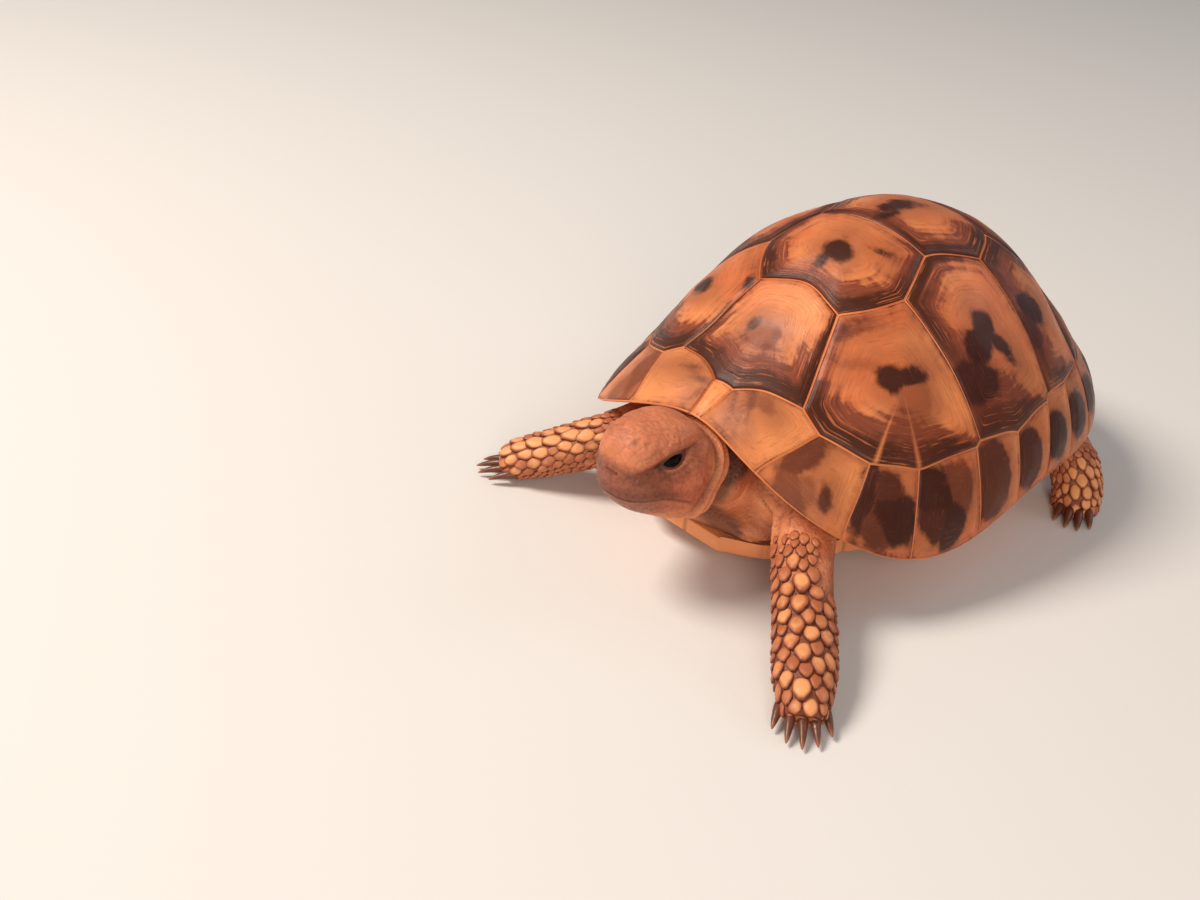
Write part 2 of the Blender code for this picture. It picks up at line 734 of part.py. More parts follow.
def set_on_floor():
    """Moves everything so that the middle of its box stands over the origin."""
    bpy.context.view_layer.update()
    graph = bpy.context.evaluated_depsgraph_get()
    corners = []
    for item in bpy.context.scene.objects:
        if item.type == "MESH" and not item.hide_render:
            mesh = item.evaluated_get(graph).to_mesh()
            corners += [vertex.co.copy() for vertex in mesh.vertices]
    root = bpy.data.objects.new("tortoise", None)
    bpy.context.scene.collection.objects.link(root)
    for item in bpy.context.scene.objects:
        if item is not root:
            item.parent = root
    for axis in (0, 1):
        values = [corner[axis] for corner in corners]
        root.location[axis] = -(min(values) + max(values)) / 2


# each leg's sections, and for its claws the middle root, heading in degrees, number and length
LEGS = {
    "foreleg_left": (LEFT_FORELEG, (0.416, -0.646, -0.028), 40, FORE_CLAWS, CLAW_LENGTH),
    "foreleg_right": (RIGHT_FORELEG, (-0.371, -0.542, -0.028), -53, FORE_CLAWS, CLAW_LENGTH),
    "hindleg_left": (LEFT_HINDLEG, (0.392, 0.212, -0.036), 25, HIND_CLAWS, CLAW_LENGTH * 0.8),
    "hindleg_right": (RIGHT_HINDLEG, (-0.349, 0.304, -0.036), -25, HIND_CLAWS, CLAW_LENGTH * 0.8),
}


def main():
    clear_scene()
    build_carapace()
    build_plastron()
    build_head()
    add_object("neck", sweep(body_rings(NECK)), "skin")
    add_object("tail", sweep(limb_rings(TAIL)), "skin")
    grown = [sweep(body_rings(NECK, GAP)), sweep(limb_rings(TAIL, GAP))]
    for name, (sections, *foot) in LEGS.items():
        build_leg(name, sections, foot)
        grown.append(sweep(limb_rings(sections, GAP)))
    build_trunk(grown)
    set_on_floor()


main()
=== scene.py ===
"""A young spur-thighed tortoise, life size: horn shell, one scaly skin, scales, claws, eyes and a studio.

Tables of shapes are in shell lengths: x is the animal's left, y its rear, z up from the underside of the
belly plate. The dome is drawn from a chart, a disc whose centre is the top of the back and whose edge is
the rim, and on which the seams between the horny plates are straight lines.
"""

import math

import bmesh
import bpy
import numpy as np
from mathutils import Matrix, Vector, noise
from mathutils.bvhtree import BVHTree


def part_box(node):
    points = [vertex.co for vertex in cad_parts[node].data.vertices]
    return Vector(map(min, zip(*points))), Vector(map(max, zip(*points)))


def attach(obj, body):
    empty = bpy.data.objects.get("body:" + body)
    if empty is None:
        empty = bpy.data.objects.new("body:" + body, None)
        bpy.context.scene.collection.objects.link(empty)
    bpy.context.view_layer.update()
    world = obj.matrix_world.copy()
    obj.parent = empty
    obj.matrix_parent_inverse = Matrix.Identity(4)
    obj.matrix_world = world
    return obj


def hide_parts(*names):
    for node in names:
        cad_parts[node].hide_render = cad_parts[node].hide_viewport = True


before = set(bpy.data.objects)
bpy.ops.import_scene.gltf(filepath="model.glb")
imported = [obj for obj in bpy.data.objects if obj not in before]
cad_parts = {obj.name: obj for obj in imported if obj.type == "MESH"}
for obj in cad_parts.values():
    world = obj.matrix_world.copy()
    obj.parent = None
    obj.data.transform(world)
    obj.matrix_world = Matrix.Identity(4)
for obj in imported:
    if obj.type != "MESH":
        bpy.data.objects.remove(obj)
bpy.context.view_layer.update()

bl_info = {
    "name": "Young tortoise",
    "version": (1, 0, 0),
    "blender": (4, 5, 0),
    "location": "3D View > Sidebar > Tortoise",
    "description": "Builds the looks of a young spur-thighed tortoise over its solids",
    "category": "Add Mesh",
}

# ---- the shell's frame ----
SHELL_LENGTH = 0.110
BELLY_CLEARANCE = 0.0055
# how far behind the shell frame's middle the middle of the carapace's box lies
RIM_MIDDLE_ALONG = 0.000997
SHELL_LOW, SHELL_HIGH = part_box("carapace")
ORIGIN = np.array([
    (SHELL_LOW.x + SHELL_HIGH.x) / 2,
    (SHELL_LOW.y + SHELL_HIGH.y) / 2 - RIM_MIDDLE_ALONG,
    BELLY_CLEARANCE,
])
MM = 0.001

# ---- the dome ----
# The dome's constants from its width to FLARE aren't design values: a least-squares fit in another program
# made them, as report.md says. The wall, NECK_NOTCH_SPREAD and all from FLARE_FROM on were chosen one by
# one.
SHELL_WALL = 0.0026
DOME_WIDTH = 0.775
DOME_HEIGHT = 0.477
WIDEST_AT = -0.032
OUTLINE_FRONT = 2.66
OUTLINE_REAR = 2.64
NECK_NOTCH = 0.049
NECK_NOTCH_SPREAD = math.radians(14)
RIM_HEIGHTS = (0.231, 0.080, 0.094, 0.099, 0.121)
SWELL_OUT = (1.968, 1.884, 2.271)
SWELL_UP = (0.722, 1.528, 1.389)
FLARE = (0.106, 0.019, 0.065)
FLARE_FROM = 0.62
RIDGE_RISE, FLANK_DROP = 0.0009, 0.0013

# ---- the chart of the plates: corners on the left, (across, along) ----
# The same fit made these rows, apart from v4_c3, v4_v5, v5_m11, tail_plate, m8_m9, m9_m10 and m10_m11, which
# were chosen one by one.
CORNERS = {
    "nuchal": (0.047, -0.883),
    "v1_m1": (0.284, -0.712),
    "m1_m2": (0.367, -0.706),
    "v1_v2": (0.154, -0.379),
    "v2_c1": (0.243, -0.188),
    "v2_v3": (0.194, -0.032),
    "v3_c2": (0.242, 0.155),
    "v3_v4": (0.144, 0.242),
    "v4_c3": (0.240, 0.470),
    "v4_v5": (0.160, 0.600),
    "v5_m11": (0.255, 0.757),
    "tail_plate": (0.135, 0.809),
    "m2_m3": (0.514, -0.597),
    "m3_m4": (0.628, -0.457),
    "m4_m5": (0.729, -0.223),
    "c1_c2": (0.724, -0.199),
    "m5_m6": (0.796, -0.001),
    "m6_m7": (0.747, 0.223),
    "c2_c3": (0.720, 0.240),
    "m7_m8": (0.656, 0.375),
    "m8_m9": (0.556, 0.518),
    "m9_m10": (0.436, 0.647),
    "m10_m11": (0.293, 0.744),
}
# where the rim plates' seams meet the rim, in degrees from the front: eight from the fit, four listed
RIM_SEAMS = (1.5, 17.5, 36.5, 52.2, 72.6, 87.4, 101.0, 113.7, 127.0, 141.0, 155.0, 168.5)
MIDDLE_PLATES = {
    "nuchal": ("rim0", "nuchal"),
    "v1": ("nuchal", "v1_m1", "v1_v2"),
    "v2": ("v1_v2", "v2_c1", "v2_v3"),
    "v3": ("v2_v3", "v3_c2", "v3_v4"),
    "v4": ("v3_v4", "v4_c3", "v4_v5"),
    "v5": ("v4_v5", "v5_m11", "tail_plate"),
    "tail": ("tail_plate", "rim11"),
}
SIDE_PLATES = {
    "c1": ("v1_m1", "m1_m2", "m2_m3", "m3_m4", "m4_m5", "c1_c2", "v2_c1", "v1_v2"),
    "c2": ("v2_c1", "c1_c2", "m5_m6", "m6_m7", "c2_c3", "v3_c2", "v2_v3"),
    "c3": ("v3_c2", "c2_c3", "m7_m8", "m8_m9", "v4_c3", "v3_v4"),
    "c4": ("v4_c3", "m8_m9", "m9_m10", "m10_m11", "v5_m11", "v4_v5"),
    "m1": ("rim0", "rim1", "m1_m2", "v1_m1", "nuchal"),
    "m2": ("rim1", "rim2", "m2_m3", "m1_m2"),
    "m3": ("rim2", "rim3", "m3_m4", "m2_m3"),
    "m4": ("rim3", "rim4", "m4_m5", "m3_m4"),
    "m5": ("rim4", "rim5", "m5_m6", "c1_c2", "m4_m5"),
    "m6": ("rim5", "rim6", "m6_m7", "m5_m6"),
    "m7": ("rim6", "rim7", "m7_m8", "c2_c3", "m6_m7"),
    "m8": ("rim7", "rim8", "m8_m9", "m7_m8"),
    "m9": ("rim8", "rim9", "m9_m10", "m8_m9"),
    "m10": ("rim9", "rim10", "m10_m11", "m9_m10"),
    "m11": ("rim10", "rim11", "tail_plate", "v5_m11", "m10_m11"),
}
# where each plate began to grow, when that isn't its middle
AREOLAS = {
    "v1": (-0.02, -0.62),
    "v2": (0.01, -0.21),
    "v3": (0.00, 0.08),
    "v4": (0.00, 0.40),
    "c1": (0.43, -0.38),
    "c2": (0.49, -0.02),
    "c3": (0.46, 0.35),
}
# dark border of each plate: how far in it reaches (1 is the areola) by direction from the front, in
# degrees towards the animal's left
BANDS = {
    "nuchal": ((0, 0.0),),
    "v1": (
        (-160, 0.0), (-125, 0.10), (-80, 0.34), (-35, 0.54), (0, 0.46), (35, 0.56), (75, 0.42),
        (120, 0.20), (160, 0.0),
    ),
    "v2": (
        (-170, 0.0), (-120, 0.24), (-70, 0.42), (-40, 0.40), (0, 0.40), (50, 0.44), (90, 0.38),
        (125, 0.28), (160, 0.0),
    ),
    "v3": (
        (-165, 0.0), (-128, 0.40), (-105, 0.34), (-70, 0.36), (-25, 0.46), (0, 0.44), (40, 0.44),
        (75, 0.36), (105, 0.38), (128, 0.44), (160, 0.0),
    ),
    "v4": ((-150, 0.0), (-90, 0.16), (-40, 0.36), (0, 0.42), (40, 0.34), (90, 0.18), (150, 0.0)),
    "v5": ((-150, 0.0), (-80, 0.20), (-30, 0.34), (0, 0.36), (30, 0.34), (80, 0.24), (150, 0.0)),
    "tail": ((-120, 0.0), (-40, 0.3), (0, 0.5), (40, 0.3), (120, 0.0)),
    "c1": (
        (-180, 0.0), (-75, 0.06), (-40, 0.12), (-22, 0.45), (15, 0.62), (50, 0.70), (85, 0.62),
        (105, 0.48), (118, 0.16), (132, 0.0),
    ),
    "c2": (
        (-120, 0.12), (-80, 0.28), (-45, 0.34), (0, 0.56), (35, 0.72), (70, 0.70), (95, 0.62),
        (116, 0.40), (130, 0.08), (140, 0.0), (180, 0.0),
    ),
    "c3": (
        (-120, 0.05), (-80, 0.34), (-30, 0.56), (20, 0.62), (60, 0.62), (100, 0.46), (130, 0.12),
        (160, 0.0),
    ),
    "c4": ((-120, 0.0), (-70, 0.30), (-20, 0.50), (40, 0.54), (90, 0.42), (130, 0.10), (160, 0.0)),
}
# dark blots: (across, along, reach across, reach along, turn in degrees, and for a paler one its
# share of darkness), on the left unless the plate is in the middle
BLOTS = {
    "v1": (
        (-0.056, -0.655, 0.034, 0.050, 15, 0.80), (-0.012, -0.672, 0.075, 0.066, 0, 0.25),
        (0.030, -0.662, 0.036, 0.050, -10, 0.50),
    ),
    "v2": (
        (0.012, -0.215, 0.044, 0.046, 0), (-0.004, -0.262, 0.020, 0.062, 0),
        (0.098, -0.125, 0.018, 0.010, 20),
    ),
    "v3": ((-0.008, 0.075, 0.027, 0.068, -6), (0.004, 0.016, 0.016, 0.050, 0)),
    "v4": ((0.004, 0.385, 0.030, 0.062, 4), (0.0, 0.330, 0.016, 0.050, 0)),
    "v5": ((0.0, 0.690, 0.040, 0.045, 0),),
    "tail": ((-0.050, 0.890, 0.040, 0.040, 0), (0.055, 0.885, 0.036, 0.042, 0)),
    "c1": (
        (0.385, -0.385, 0.052, 0.040, 30), (0.425, -0.335, 0.036, 0.050, -20),
        (0.470, -0.362, 0.070, 0.056, -30, 0.20),
        (0.190, -0.420, 0.010, 0.050, -20, 0.6), (0.215, -0.395, 0.008, 0.045, -20, 0.6),
        (0.300, -0.430, 0.016, 0.062, -30, 0.1),
    ),
    "c2": (
        (0.458, -0.018, 0.056, 0.046, 0), (0.500, -0.062, 0.056, 0.064, 20), (0.530, 0.020, 0.072, 0.026, 35),
        (0.575, -0.140, 0.110, 0.060, 58, 0.90),
    ),
    "c3": ((0.420, 0.262, 0.060, 0.052, 20), (0.500, 0.235, 0.074, 0.034, 10, 0.8)),
    "c4": ((0.345, 0.620, 0.046, 0.046, 0),),
    "m1": (
        (0.082, -0.900, 0.012, 0.050, 35, 0.50), (0.112, -0.882, 0.008, 0.046, 35, 0.30),
        (0.140, -0.860, 0.014, 0.046, 35, 0.50), (0.192, -0.822, 0.032, 0.022, 35, 0.25),
    ),
    "m2": (
        (0.372, -0.790, 0.036, 0.104, -15, 0.70), (0.402, -0.882, 0.064, 0.040, 22, 0.55),
        (0.440, -0.835, 0.032, 0.034, 0, 0.30), (0.488, -0.790, 0.022, 0.032, 30, 0.80),
    ),
    "m3": (
        (0.572, -0.680, 0.040, 0.110, 20), (0.664, -0.610, 0.100, 0.066, 44),
        (0.600, -0.590, 0.066, 0.052, 45, 0.85),
        (0.636, -0.692, 0.066, 0.048, 30, 0.75),
    ),
    "m4": (
        (0.706, -0.445, 0.102, 0.066, 44), (0.824, -0.424, 0.066, 0.072, 30),
        (0.762, -0.345, 0.078, 0.060, 30, 0.65),
        (0.775, -0.475, 0.080, 0.054, 40, 0.90),
    ),
    "m5": ((0.850, -0.192, 0.114, 0.100, 8, 0.80),),
    "m6": ((0.890, 0.040, 0.092, 0.090, 0, 0.90),),
    "m7": ((0.845, 0.262, 0.080, 0.080, -15),),
    "m8": ((0.752, 0.442, 0.084, 0.070, -28),),
    "m9": ((0.640, 0.600, 0.080, 0.068, -42),),
    "m10": ((0.500, 0.745, 0.078, 0.066, -52),),
    "m11": ((0.290, 0.850, 0.070, 0.074, -10),),
}
RIGHT_BLOTS = {
    "c1": ((0.405, -0.365, 0.070, 0.030, 32), (0.180, -0.400, 0.012, 0.040, -20)),
    "m1": (
        (0.160, -0.843, 0.036, 0.009, 20, 0.55), (0.135, -0.862, 0.030, 0.008, 20, 0.30),
        (0.088, -0.890, 0.032, 0.009, 20, 0.55), (0.066, -0.945, 0.012, 0.034, 10, 0.35),
    ),
    "m2": ((0.378, -0.800, 0.036, 0.110, -14, 0.45), (0.415, -0.860, 0.034, 0.070, 10, 0.20)),
}
# painted light and shade by plate: the front plates painted paler where the light falls, the rear ones
# darker, and how much
PLATE_LIGHT_AND_SHADE = {
    "nuchal": 0.9, "v1": 0.45, "m1": 0.75, "m2": 0.45, "v2": 0.15, "c4": -0.3, "v5": -0.3, "m8": -0.2,
    "m9": -0.3,
}
# pale rays across the first left flank plate: direction in degrees and half width
RAYS = {"c1": ((24, 3.0), (70, 2.8))}


# ---- sizes and colours that a user may change ----


class TortoiseSizes(bpy.types.PropertyGroup):
    seam_depth: bpy.props.FloatProperty(
        name="Seam depth", description="Depth of the grooves between plates", default=0.00028, unit="LENGTH"
    )
    plate_rise: bpy.props.FloatProperty(
        name="Plate rise", description="Height of a plate's first growth over its seam",
        default=0.0009, unit="LENGTH",
    )
    growth_step: bpy.props.FloatProperty(
        name="Growth step", description="Distance between the raised yearly rings of a plate",
        default=0.0013, unit="LENGTH",
    )
    growth_line: bpy.props.FloatProperty(
        name="Growth line", description="Distance between the fine lines of a plate",
        default=0.00042, unit="LENGTH",
    )
    skin_voxel: bpy.props.FloatProperty(
        name="Skin grain", description="Mesh size of the skin of the body and limbs",
        default=0.00075, unit="LENGTH",
    )
    scale_depth: bpy.props.FloatProperty(
        name="Scale depth", description="How far the limbs' scales stand over the skin",
        default=0.0004, unit="LENGTH",
    )


class TortoiseColours(bpy.types.PropertyGroup):
    horn: bpy.props.StringProperty(name="Horn", description="Ground colour of the shell", default="#D67544")
    horn_pale: bpy.props.StringProperty(
        name="Pale horn", description="Young horn beside the seams", default="#EC975C"
    )
    horn_brown: bpy.props.StringProperty(name="Brown horn", description="Stained borders", default="#7C3B27")
    horn_dark: bpy.props.StringProperty(
        name="Dark horn", description="Blots and darkest borders", default="#30100A"
    )
    belly: bpy.props.StringProperty(
        name="Belly horn", description="Ground colour of the belly plate", default="#DE8A55"
    )
    skin: bpy.props.StringProperty(name="Skin", description="Ground colour of the skin", default="#B9623F")
    skin_pale: bpy.props.StringProperty(name="Pale skin", description="Throat and folds", default="#D98A5C")
    skin_dark: bpy.props.StringProperty(
        name="Dark skin", description="Creases and beak edges", default="#5C2818"
    )
    scale: bpy.props.StringProperty(name="Scale", description="Large scales of the limbs", default="#F0A469")
    scale_edge: bpy.props.StringProperty(
        name="Scale edge", description="Small scales and rims", default="#B0623B"
    )
    claw: bpy.props.StringProperty(name="Claw", description="Claw horn", default="#6A3A25")


def sizes():
    return bpy.context.scene.tortoise_sizes


def linear(hex_colour):
    """An sRGB hex colour as linear RGBA."""
    values = [int(hex_colour[i : i + 2], 16) / 255 for i in (1, 3, 5)]
    return (*[v / 12.92 if v <= 0.04045 else ((v + 0.055) / 1.055) ** 2.4 for v in values], 1.0)


def colour(name):
    return linear(getattr(bpy.context.scene.tortoise_colours, name))


# ---- numbers ----


def place(points):
    """Points in shell lengths as world metres."""
    return np.asarray(points, float) * SHELL_LENGTH + ORIGIN


def smoothstep(low, high, value):
    share = np.clip((value - low) / (high - low), 0.0, 1.0)
    return share * share * (3 - 2 * share)


def unit(vectors):
    return vectors / np.maximum(np.linalg.norm(vectors, axis=-1, keepdims=True), 1e-12)


def grain(points, scale, seed=0.0):
    """Smooth noise from -1 to 1 at each point, with features of about scale metres."""
    return np.array([noise.noise(Vector(p) / scale + Vector((seed, seed * 1.7, -seed))) for p in points])


def through(table, count):
    """Smooth rows through a table of rows, count of them, evenly spread along the first column's steps."""
    rows = np.asarray(table, float)
    at = np.concatenate([[0.0], np.cumsum(np.linalg.norm(np.diff(rows[:, :3], axis=0), axis=1))])
    slopes = np.gradient(rows, at, axis=0)
    wanted = np.linspace(0, at[-1], count) if np.isscalar(count) else np.asarray(count) * at[-1]
    index = np.clip(np.searchsorted(at, wanted, side="right") - 1, 0, len(at) - 2)
    span = (at[index + 1] - at[index])[:, None]
    t = (wanted[:, None] - at[index][:, None]) / span
    a, b = rows[index], rows[index + 1]
    return (
        (2 * t**3 - 3 * t**2 + 1) * a
        + (t**3 - 2 * t**2 + t) * span * slopes[index]
        + (3 * t**2 - 2 * t**3) * b
        + (t**3 - t**2) * span * slopes[index + 1]
    )


# ---- meshes ----


def new_mesh(name, bm):
    mesh = bpy.data.meshes.new(name)
    bm.to_mesh(mesh)
    bm.free()
    return mesh


def points_of(mesh):
    flat = np.empty(len(mesh.vertices) * 3)
    mesh.vertices.foreach_get("co", flat)
    return flat.reshape(-1, 3)


def normals_of(mesh):
    flat = np.empty(len(mesh.vertices) * 3, np.float32)
    mesh.vertices.foreach_get("normal", flat)
    return flat.reshape(-1, 3).astype(float)


def set_points(mesh, points):
    mesh.vertices.foreach_set("co", np.ascontiguousarray(points, np.float32).ravel())
    mesh.update()


def set_field(mesh, name, values):
    """Stores one number, or one vector, for each vertex."""
    values = np.asarray(values, np.float32)
    kind, slot = ("FLOAT", "value") if values.ndim == 1 else ("FLOAT_VECTOR", "vector")
    field = mesh.attributes.get(name) or mesh.attributes.new(name, kind, "POINT")
    field.data.foreach_set(slot, values.ravel())


def set_fields(mesh, **fields):
    for name, values in fields.items():
        set_field(mesh, name, values)


def add_piece(name, mesh, material, replaced=()):
    """Links a finished mesh as a piece that rides on the animal."""
    mesh.materials.clear()
    mesh.materials.append(material)
    mesh.shade_smooth()
    piece = bpy.data.objects.new(name, mesh)
    bpy.context.scene.collection.objects.link(piece)
    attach(piece, "root")
    if replaced:
        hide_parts(*replaced)
    return piece


def made_by_modifiers(mesh, *modifiers):
    """A mesh after modifiers, each given as (type, settings)."""
    helper = bpy.data.objects.new("helper", mesh)
    bpy.context.scene.collection.objects.link(helper)
    for kind, settings in modifiers:
        modifier = helper.modifiers.new(kind.title(), kind)
        for key, value in settings.items():
            setattr(modifier, key, value)
    graph = bpy.context.evaluated_depsgraph_get()
    made = bpy.data.meshes.new_from_object(helper.evaluated_get(graph))
    bpy.data.objects.remove(helper, do_unlink=True)
    return made


def united(mesh, *others):
    """One closed mesh from several closed ones that run into each other."""
    helpers = []
    modifiers = []
    for other in others:
        helper = bpy.data.objects.new("helper", other)
        bpy.context.scene.collection.objects.link(helper)
        helpers.append(helper)
        modifiers.append(("BOOLEAN", {"operation": "UNION", "solver": "MANIFOLD", "object": helper}))
    made = made_by_modifiers(mesh, *modifiers)
    for helper in helpers:
        bpy.data.objects.remove(helper, do_unlink=True)
    return made


def sweep(rings):
    """A closed bmesh through rings of equally many points, in an array (rings, points, 3)."""
    bm = bmesh.new()
    sides = rings.shape[1]
    bmesh.ops.create_circle(bm, cap_ends=False, segments=sides, radius=1.0)
    edges = list(bm.edges)
    for _ in range(len(rings) - 1):
        made = bmesh.ops.extrude_edge_only(bm, edges=edges)["geom"]
        edges = [item for item in made if isinstance(item, bmesh.types.BMEdge)]
    bm.verts.ensure_lookup_table()
    for vertex, point in zip(bm.verts, rings.reshape(-1, 3)):
        vertex.co = point
    bmesh.ops.holes_fill(bm, edges=[edge for edge in bm.edges if edge.is_boundary], sides=0)
    bmesh.ops.recalc_face_normals(bm, faces=bm.faces)
    return bm


# ---- materials ----


def add_node(tree, kind, settings=None, **links):
    """A shader node with its settings; each link is a socket's name or place, and a value or a socket."""
    node = tree.nodes.new(kind)
    for key, value in (settings or {}).items():
        setattr(node, key, value)
    for key, value in links.items():
        name = key.replace("_", " ")
        by_place = key.startswith("in") and key[2:].isdigit()
        socket = node.inputs[int(key[2:]) if by_place else name]
        if isinstance(value, bpy.types.NodeSocket):
            tree.links.new(value, socket)
        else:
            socket.default_value = value
    return node


def new_material(name):
    material = bpy.data.materials.new(name)
    material.use_nodes = True
    return material, material.node_tree, material.node_tree.nodes["Principled BSDF"]


def field_of(tree, name):
    """A number stored on the mesh."""
    return add_node(tree, "ShaderNodeAttribute", {"attribute_name": name}).outputs["Fac"]


def reckon(tree, operation, first, second=0.0, third=0.0):
    node = add_node(tree, "ShaderNodeMath", {"operation": operation}, in0=first, in1=second)
    if operation == "MULTIPLY_ADD":
        add_link(tree, node.inputs[2], third)
    return node.outputs[0]


def times(tree, first, second):
    return reckon(tree, "MULTIPLY", first, second)


def add_link(tree, socket, value):
    if isinstance(value, bpy.types.NodeSocket):
        tree.links.new(value, socket)
    else:
        socket.default_value = value


def ramp(tree, value, low, high, out_low=0.0, out_high=1.0):
    """A smooth step between low and high."""
    node = add_node(
        tree, "ShaderNodeMapRange", {"interpolation_type": "SMOOTHSTEP"},
        Value=value, From_Min=low, From_Max=high, To_Min=out_low, To_Max=out_high,
    )
    return node.outputs["Result"]


def fineness(millimetres):
    """The scale of a pattern in object coordinates whose features are this wide."""
    return 1.0 / (millimetres * MM)


def speckle(tree, vector, scale, detail=2.0, roughness=0.5):
    links = {"Vector": vector, "Scale": scale, "Detail": detail, "Roughness": roughness}
    return add_node(tree, "ShaderNodeTexNoise", **links).outputs["Fac"]


def stretched(tree, vector, wide, along):
    """A place for noise: the plate's own direction times wide, and along added across it."""
    turned = add_node(
        tree, "ShaderNodeVectorMath", {"operation": "MULTIPLY"}, in0=vector, in1=(wide, wide, 1.0)
    )
    shift = add_node(tree, "ShaderNodeCombineXYZ", Z=along)
    moved = add_node(
        tree, "ShaderNodeVectorMath", {"operation": "ADD"}, in0=turned.outputs[0], in1=shift.outputs[0]
    )
    return moved.outputs[0]


def mixed(tree, share, first, second, blend="MIX"):
    """Colour first turned into second by share."""
    node = add_node(tree, "ShaderNodeMix", {"data_type": "RGBA", "blend_type": blend})
    add_link(tree, node.inputs[0], share)
    add_link(tree, node.inputs[6], first)
    add_link(tree, node.inputs[7], second)
    return node.outputs[2]


def bumped(tree, height, distance, strength=1.0, under=None):
    node = add_node(tree, "ShaderNodeBump", Height=height, Distance=distance, Strength=strength)
    if under is not None:
        tree.links.new(under, node.inputs["Normal"])
    return node.outputs["Normal"]


# ---- the dome, for arrays of chart places ----


def blend(values, turn):
    """Mixes the values for the front, the side and the rear by direction."""
    ahead = np.cos(turn)
    front, rear = np.maximum(ahead, 0.0) ** 2, np.maximum(-ahead, 0.0) ** 2
    return values[0] * front + values[1] * (1 - front - rear) + values[2] * rear


def rim_height(turn):
    steps = len(RIM_HEIGHTS) - 1
    height = 0.0
    for wave in range(steps + 1):
        total = sum(
            value * math.cos(math.pi * wave * node / steps) * (0.5 if node in (0, steps) else 1.0)
            for node, value in enumerate(RIM_HEIGHTS)
        )
        height = height + (1.0 if wave in (0, steps) else 2.0) * total / steps * np.cos(wave * turn)
    return height


def rim_radius(turn):
    ahead, aside = np.cos(turn), np.sin(turn)
    half_length = np.where(ahead > 0, 0.5 + WIDEST_AT, 0.5 - WIDEST_AT)
    power = np.where(ahead > 0, OUTLINE_FRONT, OUTLINE_REAR)
    outline = (np.abs(aside) / (DOME_WIDTH / 2)) ** power + (np.abs(ahead) / half_length) ** power
    notch = NECK_NOTCH * np.exp(-((np.arctan2(aside, ahead) / NECK_NOTCH_SPREAD) ** 2))
    return outline ** (-1.0 / power) * (1.0 - notch)


def meridian(reach, turn):
    out_power, up_power = blend(SWELL_OUT, turn), blend(SWELL_UP, turn)
    lean = np.radians(90.0 * (1.0 - reach))
    level, rise = np.maximum(np.cos(lean), 1e-9), np.maximum(np.sin(lean), 1e-9)
    length = np.ones_like(reach)
    for _ in range(10):
        outer, upper = (length * level) ** out_power, (length * rise) ** up_power
        slope = (out_power * outer + up_power * upper) / length
        length = np.maximum(length - (outer + upper - 1.0) / slope, 0.2)
    part = np.clip((reach - FLARE_FROM) / (1.0 - FLARE_FROM), 0.0, 1.0)
    flare = blend(FLARE, turn)
    return (length * level + part * part * (3 - 2 * part) * flare) / (1 + flare), length * rise


def dome_face(across, along):
    reach, turn = np.hypot(across, along), np.arctan2(across, -along)
    out, up = meridian(np.minimum(reach, 1.0), turn)
    radius, low = rim_radius(turn) * out, rim_height(turn)
    height = low + up * (DOME_HEIGHT - low)
    return place(np.stack([radius * np.sin(turn), WIDEST_AT - radius * np.cos(turn), height], -1))


def dome_trim(across, along):
    """Lift in metres that steepens the dome behind its top: a higher ridge over flatter hind flanks."""
    ridge = np.exp(-((across / 0.20) ** 2 + ((along - 0.27) / 0.15) ** 2))
    flank = np.exp(-(((np.abs(across) - 0.34) / 0.18) ** 2 + ((along - 0.54) / 0.18) ** 2))
    return RIDGE_RISE * ridge - FLANK_DROP * flank


def dome_points(chart):
    """Chart places (across, along, lift in metres) as world points."""
    across, along, lift = chart.T
    lift = lift + dome_trim(across, along)
    step = CHART_STEP
    reach = np.hypot(across, along)
    inward = np.where(reach > 1 - step, 1.0 - step / np.maximum(reach, step), 1.0)
    near, far = across * inward, along * inward
    sideways = dome_face(near + step, far) - dome_face(near - step, far)
    lengthways = dome_face(near, far + step) - dome_face(near, far - step)
    return dome_face(across, along) + unit(np.cross(sideways, lengthways)) * lift[:, None]


def chart_place(name, side):
    if name.startswith("rim"):
        turn = math.radians(RIM_SEAMS[int(name[3:])])
        return side * math.sin(turn), -math.cos(turn)
    across, along = CORNERS[name]
    return side * across, along


def plates():
    """Every plate as (name, side, ring of corners); side is 0 for the middle row."""
    rows = []
    for name, names in MIDDLE_PLATES.items():
        left = [(corner, 1) for corner in names]
        right = [(corner, -1) for corner in reversed(names)]
        rows.append((name, 0, left + right))
    for name, names in SIDE_PLATES.items():
        for side in (1, -1):
            rows.append((name, side, [(corner, side) for corner in names]))
    return rows


# ---- the upper shell ----

SEAM_STRETCH = 0.0085
LARGE_PLATE_RINGS = 20
RIM_PLATE_RINGS = 11
LAST_RING = 0.93
INNER_RINGS = (
    (0.998, (0.20, 0.20, 0.20)),
    (0.990, (0.45, 0.55, 0.45)),
    (0.976, (0.62, 1.20, 0.62)),
    (0.940, (0.95, 1.75, 0.95)),
    (0.880, (1.0, 1.0, 1.0)),
    (0.740, (1.0, 1.0, 1.0)),
    (0.600, (1.0, 1.0, 1.0)),
    (0.380, (1.0, 1.0, 1.0)),
    (0.160, (1.0, 1.0, 1.0)),
)
SEAM_WANDER = 0.005
SEAM_FLANK = 0.00022
RING_ROUNDING = 0.22
ROUNDING_FROM = 0.08
RIM_PLATE_RISE = 0.55
SHOULDER_WIDTH = 0.0012
RING_RELIEF = 0.00010
CHART_STEP = 0.004


